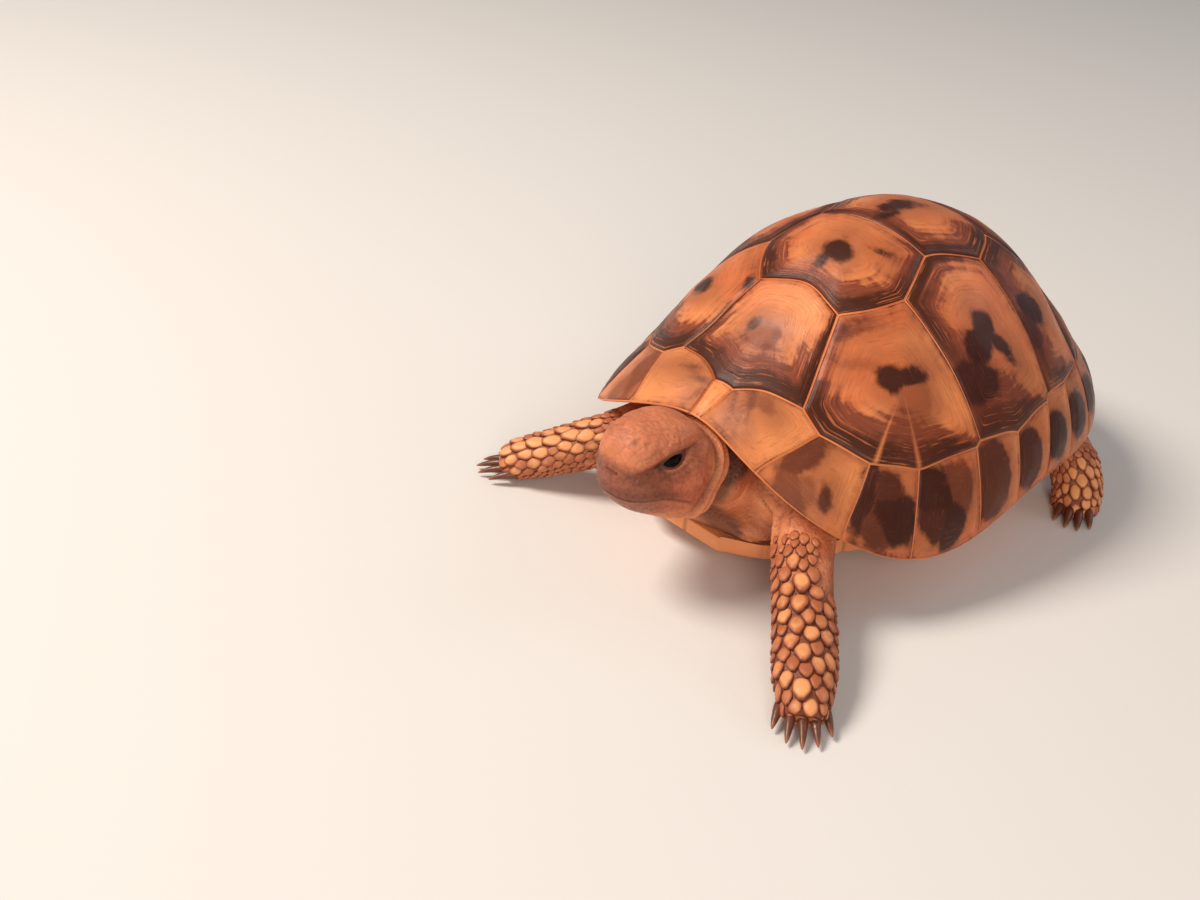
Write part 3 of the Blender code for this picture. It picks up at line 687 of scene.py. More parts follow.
def split_seams(bm):
    """Splits each seam into short stretches that can follow the dome."""
    by_cuts = {}
    for edge in bm.edges:
        ends = np.array([vertex.co.xy for vertex in edge.verts])
        run = np.linalg.norm(np.diff(dome_face(*ends.T), axis=0)) / SHELL_LENGTH
        by_cuts.setdefault(max(math.ceil(run / SEAM_STRETCH) - 1, 0), []).append(edge)
    for cuts, edges in sorted(by_cuts.items()):
        if cuts:
            bmesh.ops.bisect_edges(bm, edges=edges, cuts=cuts)


def wander_seams(bm):
    """Lets the seams wander a little, and keeps the rim on its circle."""
    for vertex in bm.verts:
        if vertex.is_boundary:
            turn = math.atan2(vertex.co.x, -vertex.co.y)
            vertex.co.xy = Vector((math.sin(turn), -math.cos(turn)))
            continue
        for axis in (0, 1):
            vertex.co[axis] += SEAM_WANDER * noise.noise(Vector((vertex.co.x, vertex.co.y, axis * 3.1)) * 7.0)


def plate_lift(depth, growth, on_rim, values):
    """Height of a plate's face over the dome, by metres in from its seam and by growth."""
    rise = values.plate_rise * (RIM_PLATE_RISE if on_rim else 1.0)
    shoulder = 0.45 * smoothstep(0.0, SHOULDER_WIDTH, depth) + 0.55 * smoothstep(0.1, 0.85, growth)
    ring = 0.5 + 0.5 * math.cos(2 * math.pi * depth / values.growth_step)
    fade = (1 - smoothstep(0.55, 0.8, growth)) * smoothstep(0.0002, 0.0008, depth)
    return rise * shoulder - RING_RELIEF * ring * fade


def grow_plate(bm, face, middle, rings, values):
    """Draws a plate in from its seam to its areola in rings that round off on the way."""
    growth, owner = bm.verts.layers.float["growth"], bm.verts.layers.int["owner"]
    depth = bm.verts.layers.float["depth"]
    index = face[bm.faces.layers.int["plate"]] + 1
    on_rim = any(vertex.is_boundary for vertex in face.verts)
    border = np.array([vertex.co[:2] for vertex in face.verts])
    reach = np.linalg.norm(
        dome_face(*border.T) - dome_face(np.array([middle.x]), np.array([middle.y])), axis=1
    ).mean()
    shares = [min(SEAM_FLANK / reach, 0.05)] + [LAST_RING * step / rings for step in range(1, rings + 1)]
    done = 0.0
    inner = face
    for share in shares:
        inner = bmesh.ops.extrude_discrete_faces(bm, faces=[inner])["faces"][0]
        ring = np.array([vertex.co[:2] for vertex in inner.verts])
        ring += (np.array(middle) - ring) * ((share - done) / (1 - done))
        if share > ROUNDING_FROM:
            ring += RING_ROUNDING * ((np.roll(ring, 1, 0) + np.roll(ring, -1, 0)) / 2 - ring)
        done = share
        for vertex, spot in zip(inner.verts, ring):
            vertex.co = (*spot, plate_lift(share * reach, share, on_rim, values))
            vertex[growth] = share
            vertex[depth] = share * reach
            vertex[owner] = index
    poked = bmesh.ops.poke(bm, faces=[inner])["verts"][0]
    poked[growth], poked[depth], poked[owner] = 1.0, reach, index


def close_inner_wall(bm):
    """Carries the rim round into the inner wall, which runs under the dome to its top."""
    owner = bm.verts.layers.int["owner"]
    edges = [edge for edge in bm.edges if edge.is_boundary]
    for reach, walls in INNER_RINGS:
        made = bmesh.ops.extrude_edge_only(bm, edges=edges)["geom"]
        edges = [item for item in made if isinstance(item, bmesh.types.BMEdge)]
        for vertex in {vertex for edge in edges for vertex in edge.verts}:
            turn = math.atan2(vertex.co.x, -vertex.co.y)
            drop = float(blend(walls, turn)) * SHELL_WALL
            vertex.co = (reach * math.sin(turn), -reach * math.cos(turn), -drop)
            vertex[owner] = -1
    bmesh.ops.holes_fill(bm, edges=edges, sides=0)


def border_width(name, side, turn):
    """How far in the dark border of a plate reaches, by direction in degrees."""
    table = BANDS.get(name)
    if table is None:
        return np.zeros_like(turn)
    knots, widths = np.array(table).T
    return np.interp(turn * (side or 1), knots, widths, period=360.0)


def blot_depth(blots, side, across, along):
    """How far inside the nearest blot a chart place is, below 0 outside, and how dark that blot is."""
    best = np.full(across.shape, -0.3)
    dark = np.ones(across.shape)
    for x, y, reach_x, reach_y, turn, *share in blots:
        angle = math.radians(turn)
        dx, dy = across * (side or 1) - x, along - y
        u, v = dx * math.cos(angle) + dy * math.sin(angle), dy * math.cos(angle) - dx * math.sin(angle)
        depth = (1 - np.hypot(u / reach_x, v / reach_y)) * min(reach_x, reach_y)
        strength = share[0] if share else 1.0
        soft = smoothstep(-0.006, 0.006, depth - best)
        dark = dark + (strength - dark) * soft
        best = np.maximum(best, depth)
    return best, dark


def mark_plates(mesh, chart, growth, owner, middles):
    """Stores the fields that the horn's colours are drawn from."""
    across, along = chart[:, 0], chart[:, 1]
    border, blot, dark, ray, tone = (np.zeros(len(chart)) for _ in range(5))
    polar = np.zeros((len(chart), 3))
    border -= 1.0
    blot -= 0.3
    for index, (name, side, _) in enumerate(plates()):
        mine = owner == index + 1
        middle = middles[index]
        dx, dy = across[mine] - middle[0], along[mine] - middle[1]
        turn = np.degrees(np.arctan2(dx, -dy))
        border[mine] = border_width(name, side, turn) - growth[mine]
        blots = RIGHT_BLOTS.get(name) if side == -1 and name in RIGHT_BLOTS else BLOTS.get(name, ())
        blot[mine], dark[mine] = blot_depth(blots, side, across[mine], along[mine])
        if side == 1:
            for heading, half in RAYS.get(name, ()):
                away = np.abs((turn - heading + 180) % 360 - 180)
                ray[mine] = np.maximum(ray[mine], 1 - smoothstep(half * 0.4, half, away))
        # painted light and shade per plate, with a random share of each plate's own tone
        tone[mine] = PLATE_LIGHT_AND_SHADE.get(name, 0.0) + 0.25 * noise.noise(Vector((index * 3.7, 1.3, 0.5)))
        rounded = np.radians(turn)
        apart = np.full(mine.sum(), index * 5.3)
        polar[mine] = np.stack([np.sin(rounded) * 3, np.cos(rounded) * 3, apart], 1)
    inside = (owner == -1).astype(float)
    set_fields(mesh, border=border, blot=blot, dark=dark, ray=ray, tone=tone, polar=polar, inside=inside)


def carapace_mesh():
    values = sizes()
    bm = bmesh.new()
    plate = bm.faces.layers.int.new("plate")
    for name in ("growth", "depth"):
        bm.verts.layers.float.new(name)
    owner = bm.verts.layers.int.new("owner")
    corners = {}
    for index, (name, side, ring) in enumerate(plates()):
        for corner in ring:
            if corner not in corners:
                corners[corner] = bm.verts.new((*chart_place(*corner), 0.0))
        face = bm.faces.new([corners[corner] for corner in ring])
        face[plate] = index
    split_seams(bm)
    wander_seams(bm)
    for vertex in bm.verts:
        vertex.co.z = 0.0 if vertex.is_boundary else -values.seam_depth
    middles = []
    for face, (name, side, _) in zip(list(bm.faces), plates()):
        middle = face.calc_center_median_weighted().xy
        if name in AREOLAS:
            middle = Vector((AREOLAS[name][0] * (side or 1), AREOLAS[name][1]))
        middles.append(tuple(middle))
        rings = RIM_PLATE_RINGS if name[0] == "m" or name in ("nuchal", "tail") else LARGE_PLATE_RINGS
        grow_plate(bm, face, middle, rings, values)
    close_inner_wall(bm)
    bmesh.ops.triangulate(bm, faces=[face for face in bm.faces if len(face.verts) > 4])
    growth = np.array([vertex[bm.verts.layers.float["growth"]] for vertex in bm.verts])
    owners = np.array([vertex[owner] for vertex in bm.verts])
    mesh = new_mesh("carapace_horn", bm)
    chart = points_of(mesh)
    set_points(mesh, dome_points(chart))
    mark_plates(mesh, chart, growth, owners, middles)
    return mesh


def horn_material():
    """Keratin horn over bone, grown in yearly rings: a satin gloss over uneven rings, with brown stains and
    pale lines that follow them."""
    material, tree, shader = new_material("grown_shell_horn")
    place_on_piece = add_node(tree, "ShaderNodeTexCoord").outputs["Object"]
    polar = add_node(tree, "ShaderNodeAttribute", {"attribute_name": "polar"}).outputs["Vector"]
    growth, depth = field_of(tree, "growth"), field_of(tree, "depth")
    border, blot = field_of(tree, "border"), field_of(tree, "blot")
    ray, tone, inside = field_of(tree, "ray"), field_of(tree, "tone"), field_of(tree, "inside")
    dark = field_of(tree, "dark")

    cloud = speckle(tree, place_on_piece, fineness(10.5), 3.0)
    blotch = speckle(tree, place_on_piece, fineness(3.85), 3.0, 0.55)
    fleck = speckle(tree, place_on_piece, fineness(1.11), 4.0, 0.6)
    # noise drawn out along each ring of growth, and noise drawn out across the rings
    by_line = times(tree, depth, 1.0 / sizes().growth_line)
    by_year = times(tree, depth, 1.0 / sizes().growth_step)
    rings = speckle(tree, stretched(tree, polar, 0.55, by_line), 1.0, 3.0, 0.7)
    broad = speckle(tree, stretched(tree, polar, 0.30, by_year), 1.0, 2.0)
    streak = speckle(tree, stretched(tree, polar, 2.6, times(tree, growth, 1.5)), 1.0, 3.0, 0.6)
    in_field = times(tree, ramp(tree, growth, 0.0, 0.03), ramp(tree, growth, 0.90, 0.62))
    pale_lines = times(tree, ramp(tree, rings, 0.56, 0.68), in_field)
    dark_lines = times(tree, ramp(tree, rings, 0.46, 0.36), in_field)

    ground = mixed(tree, ramp(tree, cloud, 0.32, 0.68, 0.0, 0.75), colour("horn"), colour("horn_pale"))
    # painted light and shade: the plate's tone, paler on the lit front plates and browner on the shaded rear
    # ones
    ground = mixed(tree, ramp(tree, tone, 0.0, -0.5, 0.0, 0.30), ground, colour("horn_brown"))
    ground = mixed(tree, ramp(tree, tone, 0.0, 1.0, 0.0, 0.70), ground, colour("horn_pale"))
    ground = mixed(tree, times(tree, dark_lines, 0.26), ground, colour("horn_brown"))
    ground = mixed(tree, times(tree, pale_lines, 0.30), ground, colour("horn_pale"))

    edge = reckon(tree, "ADD", border, ramp(tree, streak, 0.3, 0.7, -0.045, 0.045))
    edge = reckon(tree, "ADD", edge, ramp(tree, broad, 0.3, 0.7, -0.09, 0.09))
    edge = reckon(tree, "ADD", edge, ramp(tree, blotch, 0.3, 0.7, -0.03, 0.03))
    at_seam = ramp(tree, growth, 0.004, 0.018)
    no_ray = reckon(tree, "SUBTRACT", 1.0, times(tree, ray, 0.85))
    kept = times(tree, at_seam, no_ray)
    faint = times(tree, ramp(tree, edge, -0.22, 0.02, 0.0, 0.40), kept)
    shell = mixed(tree, faint, ground, colour("horn_brown"))
    stained = times(tree, ramp(tree, edge, -0.05, 0.07, 0.0, 0.92), kept)
    deep_edge = reckon(tree, "SUBTRACT", edge, times(tree, growth, 0.9))
    deep = ramp(tree, deep_edge, -0.12, 0.14)
    stain = mixed(tree, deep, colour("horn_brown"), colour("horn_dark"))
    stain = mixed(tree, times(tree, dark_lines, 0.5), stain, colour("horn_dark"))
    stain = mixed(tree, times(tree, pale_lines, 0.62), stain, colour("horn"))
    shell = mixed(tree, stained, shell, stain)

    blot_edge = reckon(tree, "ADD", blot, ramp(tree, fleck, 0.3, 0.7, -0.003, 0.003))
    blot_edge = reckon(tree, "ADD", blot_edge, ramp(tree, blotch, 0.3, 0.7, -0.007, 0.007))
    halo = ramp(tree, blot_edge, -0.11, 0.0, 0.0, 0.62)
    halo = times(tree, halo, ramp(tree, cloud, 0.25, 0.6, 0.35, 1.0))
    shell = mixed(tree, times(tree, halo, at_seam), shell, colour("horn_brown"))
    blotted = times(tree, ramp(tree, blot_edge, -0.015, 0.010, 0.0, 0.94), at_seam)
    blotted = times(tree, blotted, no_ray)
    blotted = times(tree, blotted, ramp(tree, dark, 0.0, 1.0, 0.45, 1.0))
    blotted_horn = mixed(tree, dark, colour("horn_brown"), colour("horn_dark"))
    blotted_horn = mixed(tree, times(tree, pale_lines, 0.40), blotted_horn, colour("horn_brown"))
    shell = mixed(tree, blotted, shell, blotted_horn)
    shell = mixed(tree, inside, shell, colour("belly"))
    tree.links.new(shell, shader.inputs["Base Color"])

    shader.inputs["IOR"].default_value = 1.50
    shader.inputs["Specular IOR Level"].default_value = 0.24
    tree.links.new(ramp(tree, blotch, 0.3, 0.7, 0.34, 0.48), shader.inputs["Roughness"])
    relief = times(tree, rings, in_field)
    normal = bumped(tree, relief, 0.00016, 0.5)
    normal = bumped(tree, fleck, 0.00010, 0.20, normal)
    tree.links.new(normal, shader.inputs["Normal"])
    return material


class TORTOISE_OT_carapace(bpy.types.Operator):
    """Builds the upper shell with its horny plates"""

    bl_idname = "tortoise.carapace"
    bl_label = "Upper shell"

    def execute(self, context):
        add_piece("carapace_horn", carapace_mesh(), horn_material(), ["carapace"])
        return {"FINISHED"}


# ---- the belly plate ----

BELLY_PLATE = 0.0030
BELLY_ROWS = (
    (-0.469, 0.088), (-0.434, 0.149), (-0.370, 0.200), (-0.300, 0.226), (-0.262, 0.245), (-0.225, 0.0),
    (-0.140, 0.0), (-0.060, 0.0), (0.020, 0.0), (0.100, 0.0), (0.170, 0.0), (0.205, 0.235),
    (0.265, 0.222), (0.340, 0.208), (0.400, 0.160), (0.440, 0.095),
)
TAIL_NOTCH = 0.035
BRIDGE_FROM = 0.235
BRIDGE_EDGE = 0.905
BRIDGE_DROP = 0.010
BELLY_GRID = (120, 150)
BELLY_GROOVE = 0.0026
BELLY_GROOVE_HALF = 0.006
BRIDGE_CURL = 0.006
BELLY_ROUNDING = 0.0004
BELLY_GROWTH_LINE = 0.0011
# seams across the belly plate: where each meets the midline, and how far forward it swings at the edge
BELLY_SEAMS = ((-0.402, 0.055), (-0.262, 0.035), (-0.205, -0.020), (0.128, 0.030), (0.318, 0.070))
# dark blots of the belly plate: (across, along, reach across, reach along), on both sides
BELLY_BLOTS = (
    (0.100, -0.330, 0.036, 0.026), (0.130, -0.232, 0.060, 0.018), (0.150, -0.040, 0.085, 0.110),
    (0.120, 0.210, 0.060, 0.055), (0.070, 0.370, 0.040, 0.030),
)


def belly_row(share, along, half_width, last):
    """A row of the belly plate's lower face as points, by share of its half width."""
    if half_width:
        edge, up = half_width, np.zeros_like(share)
    else:
        edge = BRIDGE_EDGE * shell_half_width(along)
        part = np.clip((np.abs(share * edge) - BRIDGE_FROM) / (edge - BRIDGE_FROM), 0, 1)
        turn = np.arctan2(np.abs(share * edge), WIDEST_AT - along)
        up = part * (rim_height(turn) - BELLY_PLATE / SHELL_LENGTH - BRIDGE_DROP)
    behind = along - (TAIL_NOTCH * (1 - np.abs(share)) if last else 0.0)
    return np.stack([share * edge, behind + 0 * share, up], -1)


def shell_half_width(along):
    """Half the shell's width at the rim, at a distance from its middle."""
    ahead = WIDEST_AT - along
    half_length = 0.5 + WIDEST_AT if ahead > 0 else 0.5 - WIDEST_AT
    power = OUTLINE_FRONT if ahead > 0 else OUTLINE_REAR
    return DOME_WIDTH / 2 * max(1 - (abs(ahead) / half_length) ** power, 0.0) ** (1 / power)


def belly_seam_distance(points):
    """Distance in shell lengths from each point of the belly plate to the nearest seam."""
    across, along = points[:, 0], points[:, 1]
    sway = 0.006 * np.sin(along * 23.0)
    near = np.abs(across - sway)
    for at, swing in BELLY_SEAMS:
        near = np.minimum(near, np.abs(along - at + swing * np.abs(across / 0.2) ** 1.6))
    return near


def plastron_mesh():
    columns, rows = BELLY_GRID
    bm = bmesh.new()
    bmesh.ops.create_grid(bm, x_segments=columns, y_segments=rows, size=1.0)
    grid = np.array([vertex.co[:] for vertex in bm.verts])
    share = grid[:, 0]
    alongs = np.array([row[0] for row in BELLY_ROWS])
    last = len(BELLY_ROWS) - 1
    cad_rows = [belly_row(share, *row, index == last) for index, row in enumerate(BELLY_ROWS)]
    wanted = alongs[0] + (alongs[-1] - alongs[0]) * (grid[:, 1] + 1) / 2
    index = np.clip(np.searchsorted(alongs, wanted, side="right") - 1, 0, last - 1)
    part = ((wanted - alongs[index]) / (alongs[index + 1] - alongs[index]))[:, None]
    every = np.arange(len(share))
    stack = np.array(cad_rows)
    points = stack[index, every] * (1 - part) + stack[index + 1, every] * part
    across = np.abs(points[:, 0])
    points[:, 2] += BRIDGE_CURL * smoothstep(0.90, 1.0, np.abs(share)) * smoothstep(0.30, 0.22, across)
    near = belly_seam_distance(points)
    points[:, 2] += BELLY_GROOVE * (1 - smoothstep(0.0, BELLY_GROOVE_HALF, near))
    for vertex, point in zip(bm.verts, place(points)):
        vertex.co = point
    bmesh.ops.solidify(bm, geom=list(bm.faces), thickness=-BELLY_PLATE)
    bm.normal_update()
    rims = [edge for edge in bm.edges if edge.calc_face_angle(0.0) > math.radians(55)]
    bmesh.ops.bevel(
        bm, geom=rims, offset=BELLY_ROUNDING, segments=2, profile=0.5,
        clamp_overlap=True, affect="EDGES", material=-1,
    )
    mesh = new_mesh("belly_plate", bm)
    points = (points_of(mesh) - ORIGIN) / SHELL_LENGTH
    near = belly_seam_distance(points)
    set_field(mesh, "depth", near * SHELL_LENGTH)
    blot = np.full(len(points), -0.2)
    for x, y, reach_x, reach_y in BELLY_BLOTS:
        away = np.hypot((np.abs(points[:, 0]) - x) / reach_x, (points[:, 1] - y) / reach_y)
        blot = np.maximum(blot, (1 - away) * min(reach_x, reach_y))
    set_field(mesh, "blot", blot)
    set_field(mesh, "under", smoothstep(0.1, -0.4, normals_of(mesh)[:, 2]))
    return mesh


def belly_material():
    """Flat worn horn: paler and duller than the dome, with faint growth lines and smudged blots."""
    material, tree, shader = new_material("belly_shell_horn")
    place_on_piece = add_node(tree, "ShaderNodeTexCoord").outputs["Object"]
    depth, blot = field_of(tree, "depth"), field_of(tree, "blot")
    cloud = speckle(tree, place_on_piece, fineness(8.33), 3.0)
    fleck = speckle(tree, place_on_piece, fineness(1.11), 3.0, 0.6)
    phase = reckon(tree, "MULTIPLY_ADD", depth, 2 * math.pi / BELLY_GROWTH_LINE, times(tree, cloud, 14.0))
    wave = reckon(tree, "SINE", phase)
    ground = mixed(tree, ramp(tree, cloud, 0.3, 0.7), colour("belly"), colour("horn_pale"))
    under = field_of(tree, "under")
    wave = times(tree, wave, under)
    ground = mixed(tree, ramp(tree, wave, 0.2, 1.0, 0.0, 0.06), ground, colour("horn_brown"))
    edge = reckon(tree, "ADD", blot, ramp(tree, cloud, 0.3, 0.7, -0.016, 0.016))
    ground = mixed(tree, ramp(tree, edge, -0.006, 0.010, 0.0, 0.85), ground, colour("horn_dark"))
    ground = mixed(tree, ramp(tree, depth, 0.0007, 0.0002, 0.0, 0.45), ground, colour("horn_brown"))
    tree.links.new(ground, shader.inputs["Base Color"])
    tree.links.new(ramp(tree, fleck, 0.3, 0.7, 0.42, 0.58), shader.inputs["Roughness"])
    shader.inputs["IOR"].default_value = 1.54
    tree.links.new(bumped(tree, wave, 0.00003, 0.35), shader.inputs["Normal"])
    return material


class TORTOISE_OT_plastron(bpy.types.Operator):
    """Builds the belly plate"""

    bl_idname = "tortoise.plastron"
    bl_label = "Belly plate"

    def execute(self, context):
        add_piece("belly_plate", plastron_mesh(), belly_material(), ["plastron"])
        return {"FINISHED"}


# ---- claws and eyes ----

CLAW_LENGTH = 0.060
CLAW_ROOT = 0.0092
CLAW_SPACING = 0.0168
CLAW_FAN = math.radians(7)
CLAW_ARC = 0.0045
CLAW_DROOP = 0.22
CLAW_SIDES = 16
CLAW_RINGS = 12
CLAW_SUNK = 0.0006
CLAW_SHORTENING = 0.055
# each foot's claws: the middle root, heading in degrees, number and length
FEET = {
    "forefoot_left": ((0.416, -0.646, -0.028), 40, 5, CLAW_LENGTH),
    "forefoot_right": ((-0.371, -0.542, -0.028), -53, 5, CLAW_LENGTH),
    "hindfoot_left": ((0.392, 0.212, -0.036), 25, 4, CLAW_LENGTH * 0.8),
    "hindfoot_right": ((-0.349, 0.304, -0.036), -25, 4, CLAW_LENGTH * 0.8),
}
CLAW_SHAPE = (
    (0.0, 0.90), (0.15, 0.98), (0.3, 0.98), (0.5, 0.84), (0.65, 0.71), (0.8, 0.55), (0.92, 0.36),
    (1.0, 0.14),
)
EYE_RADIUS = 0.0260
EYE_CENTRE = (0.0365, -0.580, 0.213)
# which way the left eye looks, and which way the opening between its lids faces
EYE_GAZE = (0.93, -0.33, 0.10)
LIDS_FACE = (0.955, -0.26, 0.12)


def claw_roots():
    """Every claw as (root, heading, length) in metres."""
    claws = []
    for centre, heading, count, length in FEET.values():
        turn = math.radians(heading)
        across_foot = Vector((math.cos(turn), math.sin(turn), 0.0))
        forward = Vector((math.sin(turn), -math.cos(turn), 0.0))
        for number in range(count):
            offset = number - (count - 1) / 2
            step = across_foot * (offset * CLAW_SPACING) - forward * (offset * offset * CLAW_ARC)
            ahead = (forward + across_foot * math.tan(offset * CLAW_FAN)).normalized()
            shorter = 1 - CLAW_SHORTENING * offset * offset
            root = Vector(place(centre)) + step * SHELL_LENGTH
            claws.append((root, ahead, length * shorter * SHELL_LENGTH))
    return claws


def claw_rings(root, ahead, length):
    aside = ahead.cross(Vector((0, 0, 1))).normalized()
    lift = aside.cross(ahead).normalized()
    shares, widths = np.array(CLAW_SHAPE).T
    rings = []
    for share in np.linspace(0.0, 1.0, CLAW_RINGS) ** 0.85:
        radius = float(np.interp(share, shares, widths)) * CLAW_ROOT * SHELL_LENGTH
        centre = root + ahead * (length * share) - Vector((0, 0, share * share * length * CLAW_DROOP))
        ring = []
        for step in range(CLAW_SIDES):
            angle = 2 * math.pi * step / CLAW_SIDES
            under = 0.70 if math.sin(angle) < 0 else 0.95
            ring.append(centre + (aside * math.cos(angle) * 0.94 + lift * math.sin(angle) * under) * radius)
        rings.append(ring)
    return np.array(rings)


def claws_mesh():
    bm = bmesh.new()
    shares = []
    for root, ahead, length in claw_roots():
        part = new_mesh("part", sweep(claw_rings(root - ahead * CLAW_SUNK, ahead, length + CLAW_SUNK)))
        bm.from_mesh(part)
        shares += [min((Vector(v.co) - root).dot(ahead) / length, 1.0) for v in part.vertices]
        bpy.data.meshes.remove(part)
    mesh = new_mesh("claws", bm)
    set_field(mesh, "tip", np.array(shares))
    return mesh


def claw_material():
    """Dark solid horn with a dull polish, paler and scuffed towards the tip, finely grained."""
    material, tree, shader = new_material("claw_keratin")
    spot = add_node(tree, "ShaderNodeTexCoord").outputs["Object"]
    tip = field_of(tree, "tip")
    fleck = speckle(tree, spot, fineness(0.714), 3.0, 0.6)
    base = mixed(tree, ramp(tree, fleck, 0.3, 0.7, 0.0, 0.35), colour("claw"), colour("skin_dark"))
    base = mixed(tree, ramp(tree, tip, 0.75, 1.0, 0.0, 0.35), base, colour("skin_pale"))
    tree.links.new(base, shader.inputs["Base Color"])
    tree.links.new(ramp(tree, fleck, 0.3, 0.7, 0.30, 0.48), shader.inputs["Roughness"])
    shader.inputs["IOR"].default_value = 1.55
    tree.links.new(bumped(tree, fleck, 0.00008, 0.4), shader.inputs["Normal"])
    return material


class TORTOISE_OT_claws(bpy.types.Operator):
    """Builds the claws of all four feet"""

    bl_idname = "tortoise.claws"
    bl_label = "Claws"

    def execute(self, context):
        names = [f"claw_{foot}_{number + 1}" for foot, row in FEET.items() for number in range(row[2])]
        add_piece("claws", claws_mesh(), claw_material(), names)
        return {"FINISHED"}


def eye_middle(side):
    across, along, up = EYE_CENTRE
    return Vector(place((side * across, along, up)))


def eye_mesh(side):
    bm = bmesh.new()
    turned = Matrix.Translation(eye_middle(side)) @ Matrix.Rotation(math.radians(90 * side), 4, "Y")
    radius = EYE_RADIUS * SHELL_LENGTH
    bmesh.ops.create_uvsphere(bm, u_segments=48, v_segments=32, radius=radius, matrix=turned)
    mesh = new_mesh(f"eyeball_{'left' if side > 0 else 'right'}", bm)
    out = (points_of(mesh) - np.array(eye_middle(side))) / radius
    facing = unit(np.array(EYE_GAZE) * (side, 1, 1))
    set_field(mesh, "gaze", out @ facing)
    return mesh


def eye_material():
    """A wet cornea over a very dark brown iris: nearly black, with one sharp highlight."""
    material, tree, shader = new_material("wet_eye")
    spot = add_node(tree, "ShaderNodeTexCoord").outputs["Object"]
    gaze = field_of(tree, "gaze")
    fibre = speckle(tree, spot, fineness(0.385), 3.0, 0.6)
    iris = mixed(tree, ramp(tree, fibre, 0.3, 0.7), linear("#1A0A05"), linear("#38180C"))
    iris = mixed(tree, ramp(tree, gaze, 0.82, 0.74), linear("#060202"), iris)
    iris = mixed(tree, ramp(tree, gaze, 0.55, 0.40), iris, linear("#0C0403"))
    tree.links.new(iris, shader.inputs["Base Color"])
    shader.inputs["Roughness"].default_value = 0.07
    shader.inputs["IOR"].default_value = 1.38
    shader.inputs["Specular IOR Level"].default_value = 0.16
    return material


class TORTOISE_OT_eyes(bpy.types.Operator):
    """Builds both eyes"""

    bl_idname = "tortoise.eyes"
    bl_label = "Eyes"

    def execute(self, context):
        material = eye_material()
        for side, name in ((1, "eye_left"), (-1, "eye_right")):
            mesh = eye_mesh(side)
            add_piece(mesh.name, mesh, material, [name])
        return {"FINISHED"}


# ---- flesh ----

# head and neck sections: along, half width, top, bottom, squareness
HEAD = (
    (-0.340, 0.070, 0.186, 0.062, 2.0),
    (-0.385, 0.082, 0.200, 0.050, 2.0),
    (-0.420, 0.087, 0.204, 0.046, 2.0),
    (-0.450, 0.088, 0.209, 0.048, 2.0),
    (-0.487, 0.080, 0.228, 0.056, 2.2),
    (-0.512, 0.081, 0.249, 0.056, 2.3),
    (-0.540, 0.079, 0.262, 0.065, 2.4),
    (-0.570, 0.073, 0.266, 0.081, 2.6),
    (-0.600, 0.066, 0.265, 0.098, 2.6),
    (-0.624, 0.061, 0.261, 0.112, 2.7),
    (-0.642, 0.053, 0.253, 0.124, 2.8),
    (-0.655, 0.043, 0.240, 0.136, 2.7),
    (-0.663, 0.029, 0.222, 0.150, 2.6),
    (-0.6665, 0.013, 0.204, 0.165, 2.2),
)
HEAD_GRID = (150, 170)
JAW_NARROWING = 0.07
LIMB_SIDES = 40
LIMB_RINGS = 70
LIMB_INSET = 0.00042
SKIN_OVER_FLOOR = 0.00002

# limb sections: centre, half breadth, half thickness
LIMBS = {
    "foreleg_left": (
        (0.155, -0.320, 0.105, 0.052, 0.052), (0.194, -0.383, 0.088, 0.056, 0.052),
        (0.236, -0.442, 0.064, 0.054, 0.046), (0.288, -0.500, 0.036, 0.053, 0.041),
        (0.342, -0.557, 0.011, 0.054, 0.038), (0.381, -0.603, -0.009, 0.052, 0.036),
        (0.408, -0.634, -0.022, 0.043, 0.032), (0.424, -0.653, -0.029, 0.035, 0.025),
    ),
    "foreleg_right": (
        (-0.155, -0.320, 0.105, 0.052, 0.050), (-0.186, -0.378, 0.088, 0.055, 0.050),
        (-0.224, -0.424, 0.062, 0.052, 0.048), (-0.268, -0.464, 0.032, 0.050, 0.045),
        (-0.312, -0.498, 0.008, 0.049, 0.042), (-0.343, -0.521, -0.008, 0.048, 0.038),
        (-0.364, -0.537, -0.021, 0.042, 0.034), (-0.377, -0.547, -0.029, 0.034, 0.025),
    ),
    "hindleg_left": (
        (0.150, 0.225, 0.125, 0.062, 0.054), (0.225, 0.256, 0.100, 0.060, 0.054),
        (0.297, 0.272, 0.058, 0.055, 0.050), (0.344, 0.270, 0.018, 0.051, 0.048),
        (0.368, 0.257, -0.022, 0.051, 0.047), (0.375, 0.250, -0.060, 0.050, 0.046),
    ),
    "hindleg_right": (
        (-0.150, 0.245, 0.125, 0.062, 0.054), (-0.215, 0.290, 0.100, 0.060, 0.054),
        (-0.274, 0.330, 0.058, 0.055, 0.050), (-0.310, 0.349, 0.018, 0.051, 0.048),
        (-0.327, 0.347, -0.022, 0.051, 0.047), (-0.332, 0.342, -0.060, 0.050, 0.046),
    ),
    "tail": (
        (0.000, 0.330, 0.088, 0.042, 0.038), (0.000, 0.400, 0.074, 0.038, 0.034),
        (0.012, 0.445, 0.052, 0.029, 0.027), (0.032, 0.476, 0.026, 0.019, 0.018),
        (0.055, 0.498, 0.006, 0.009, 0.009),
    ),
}
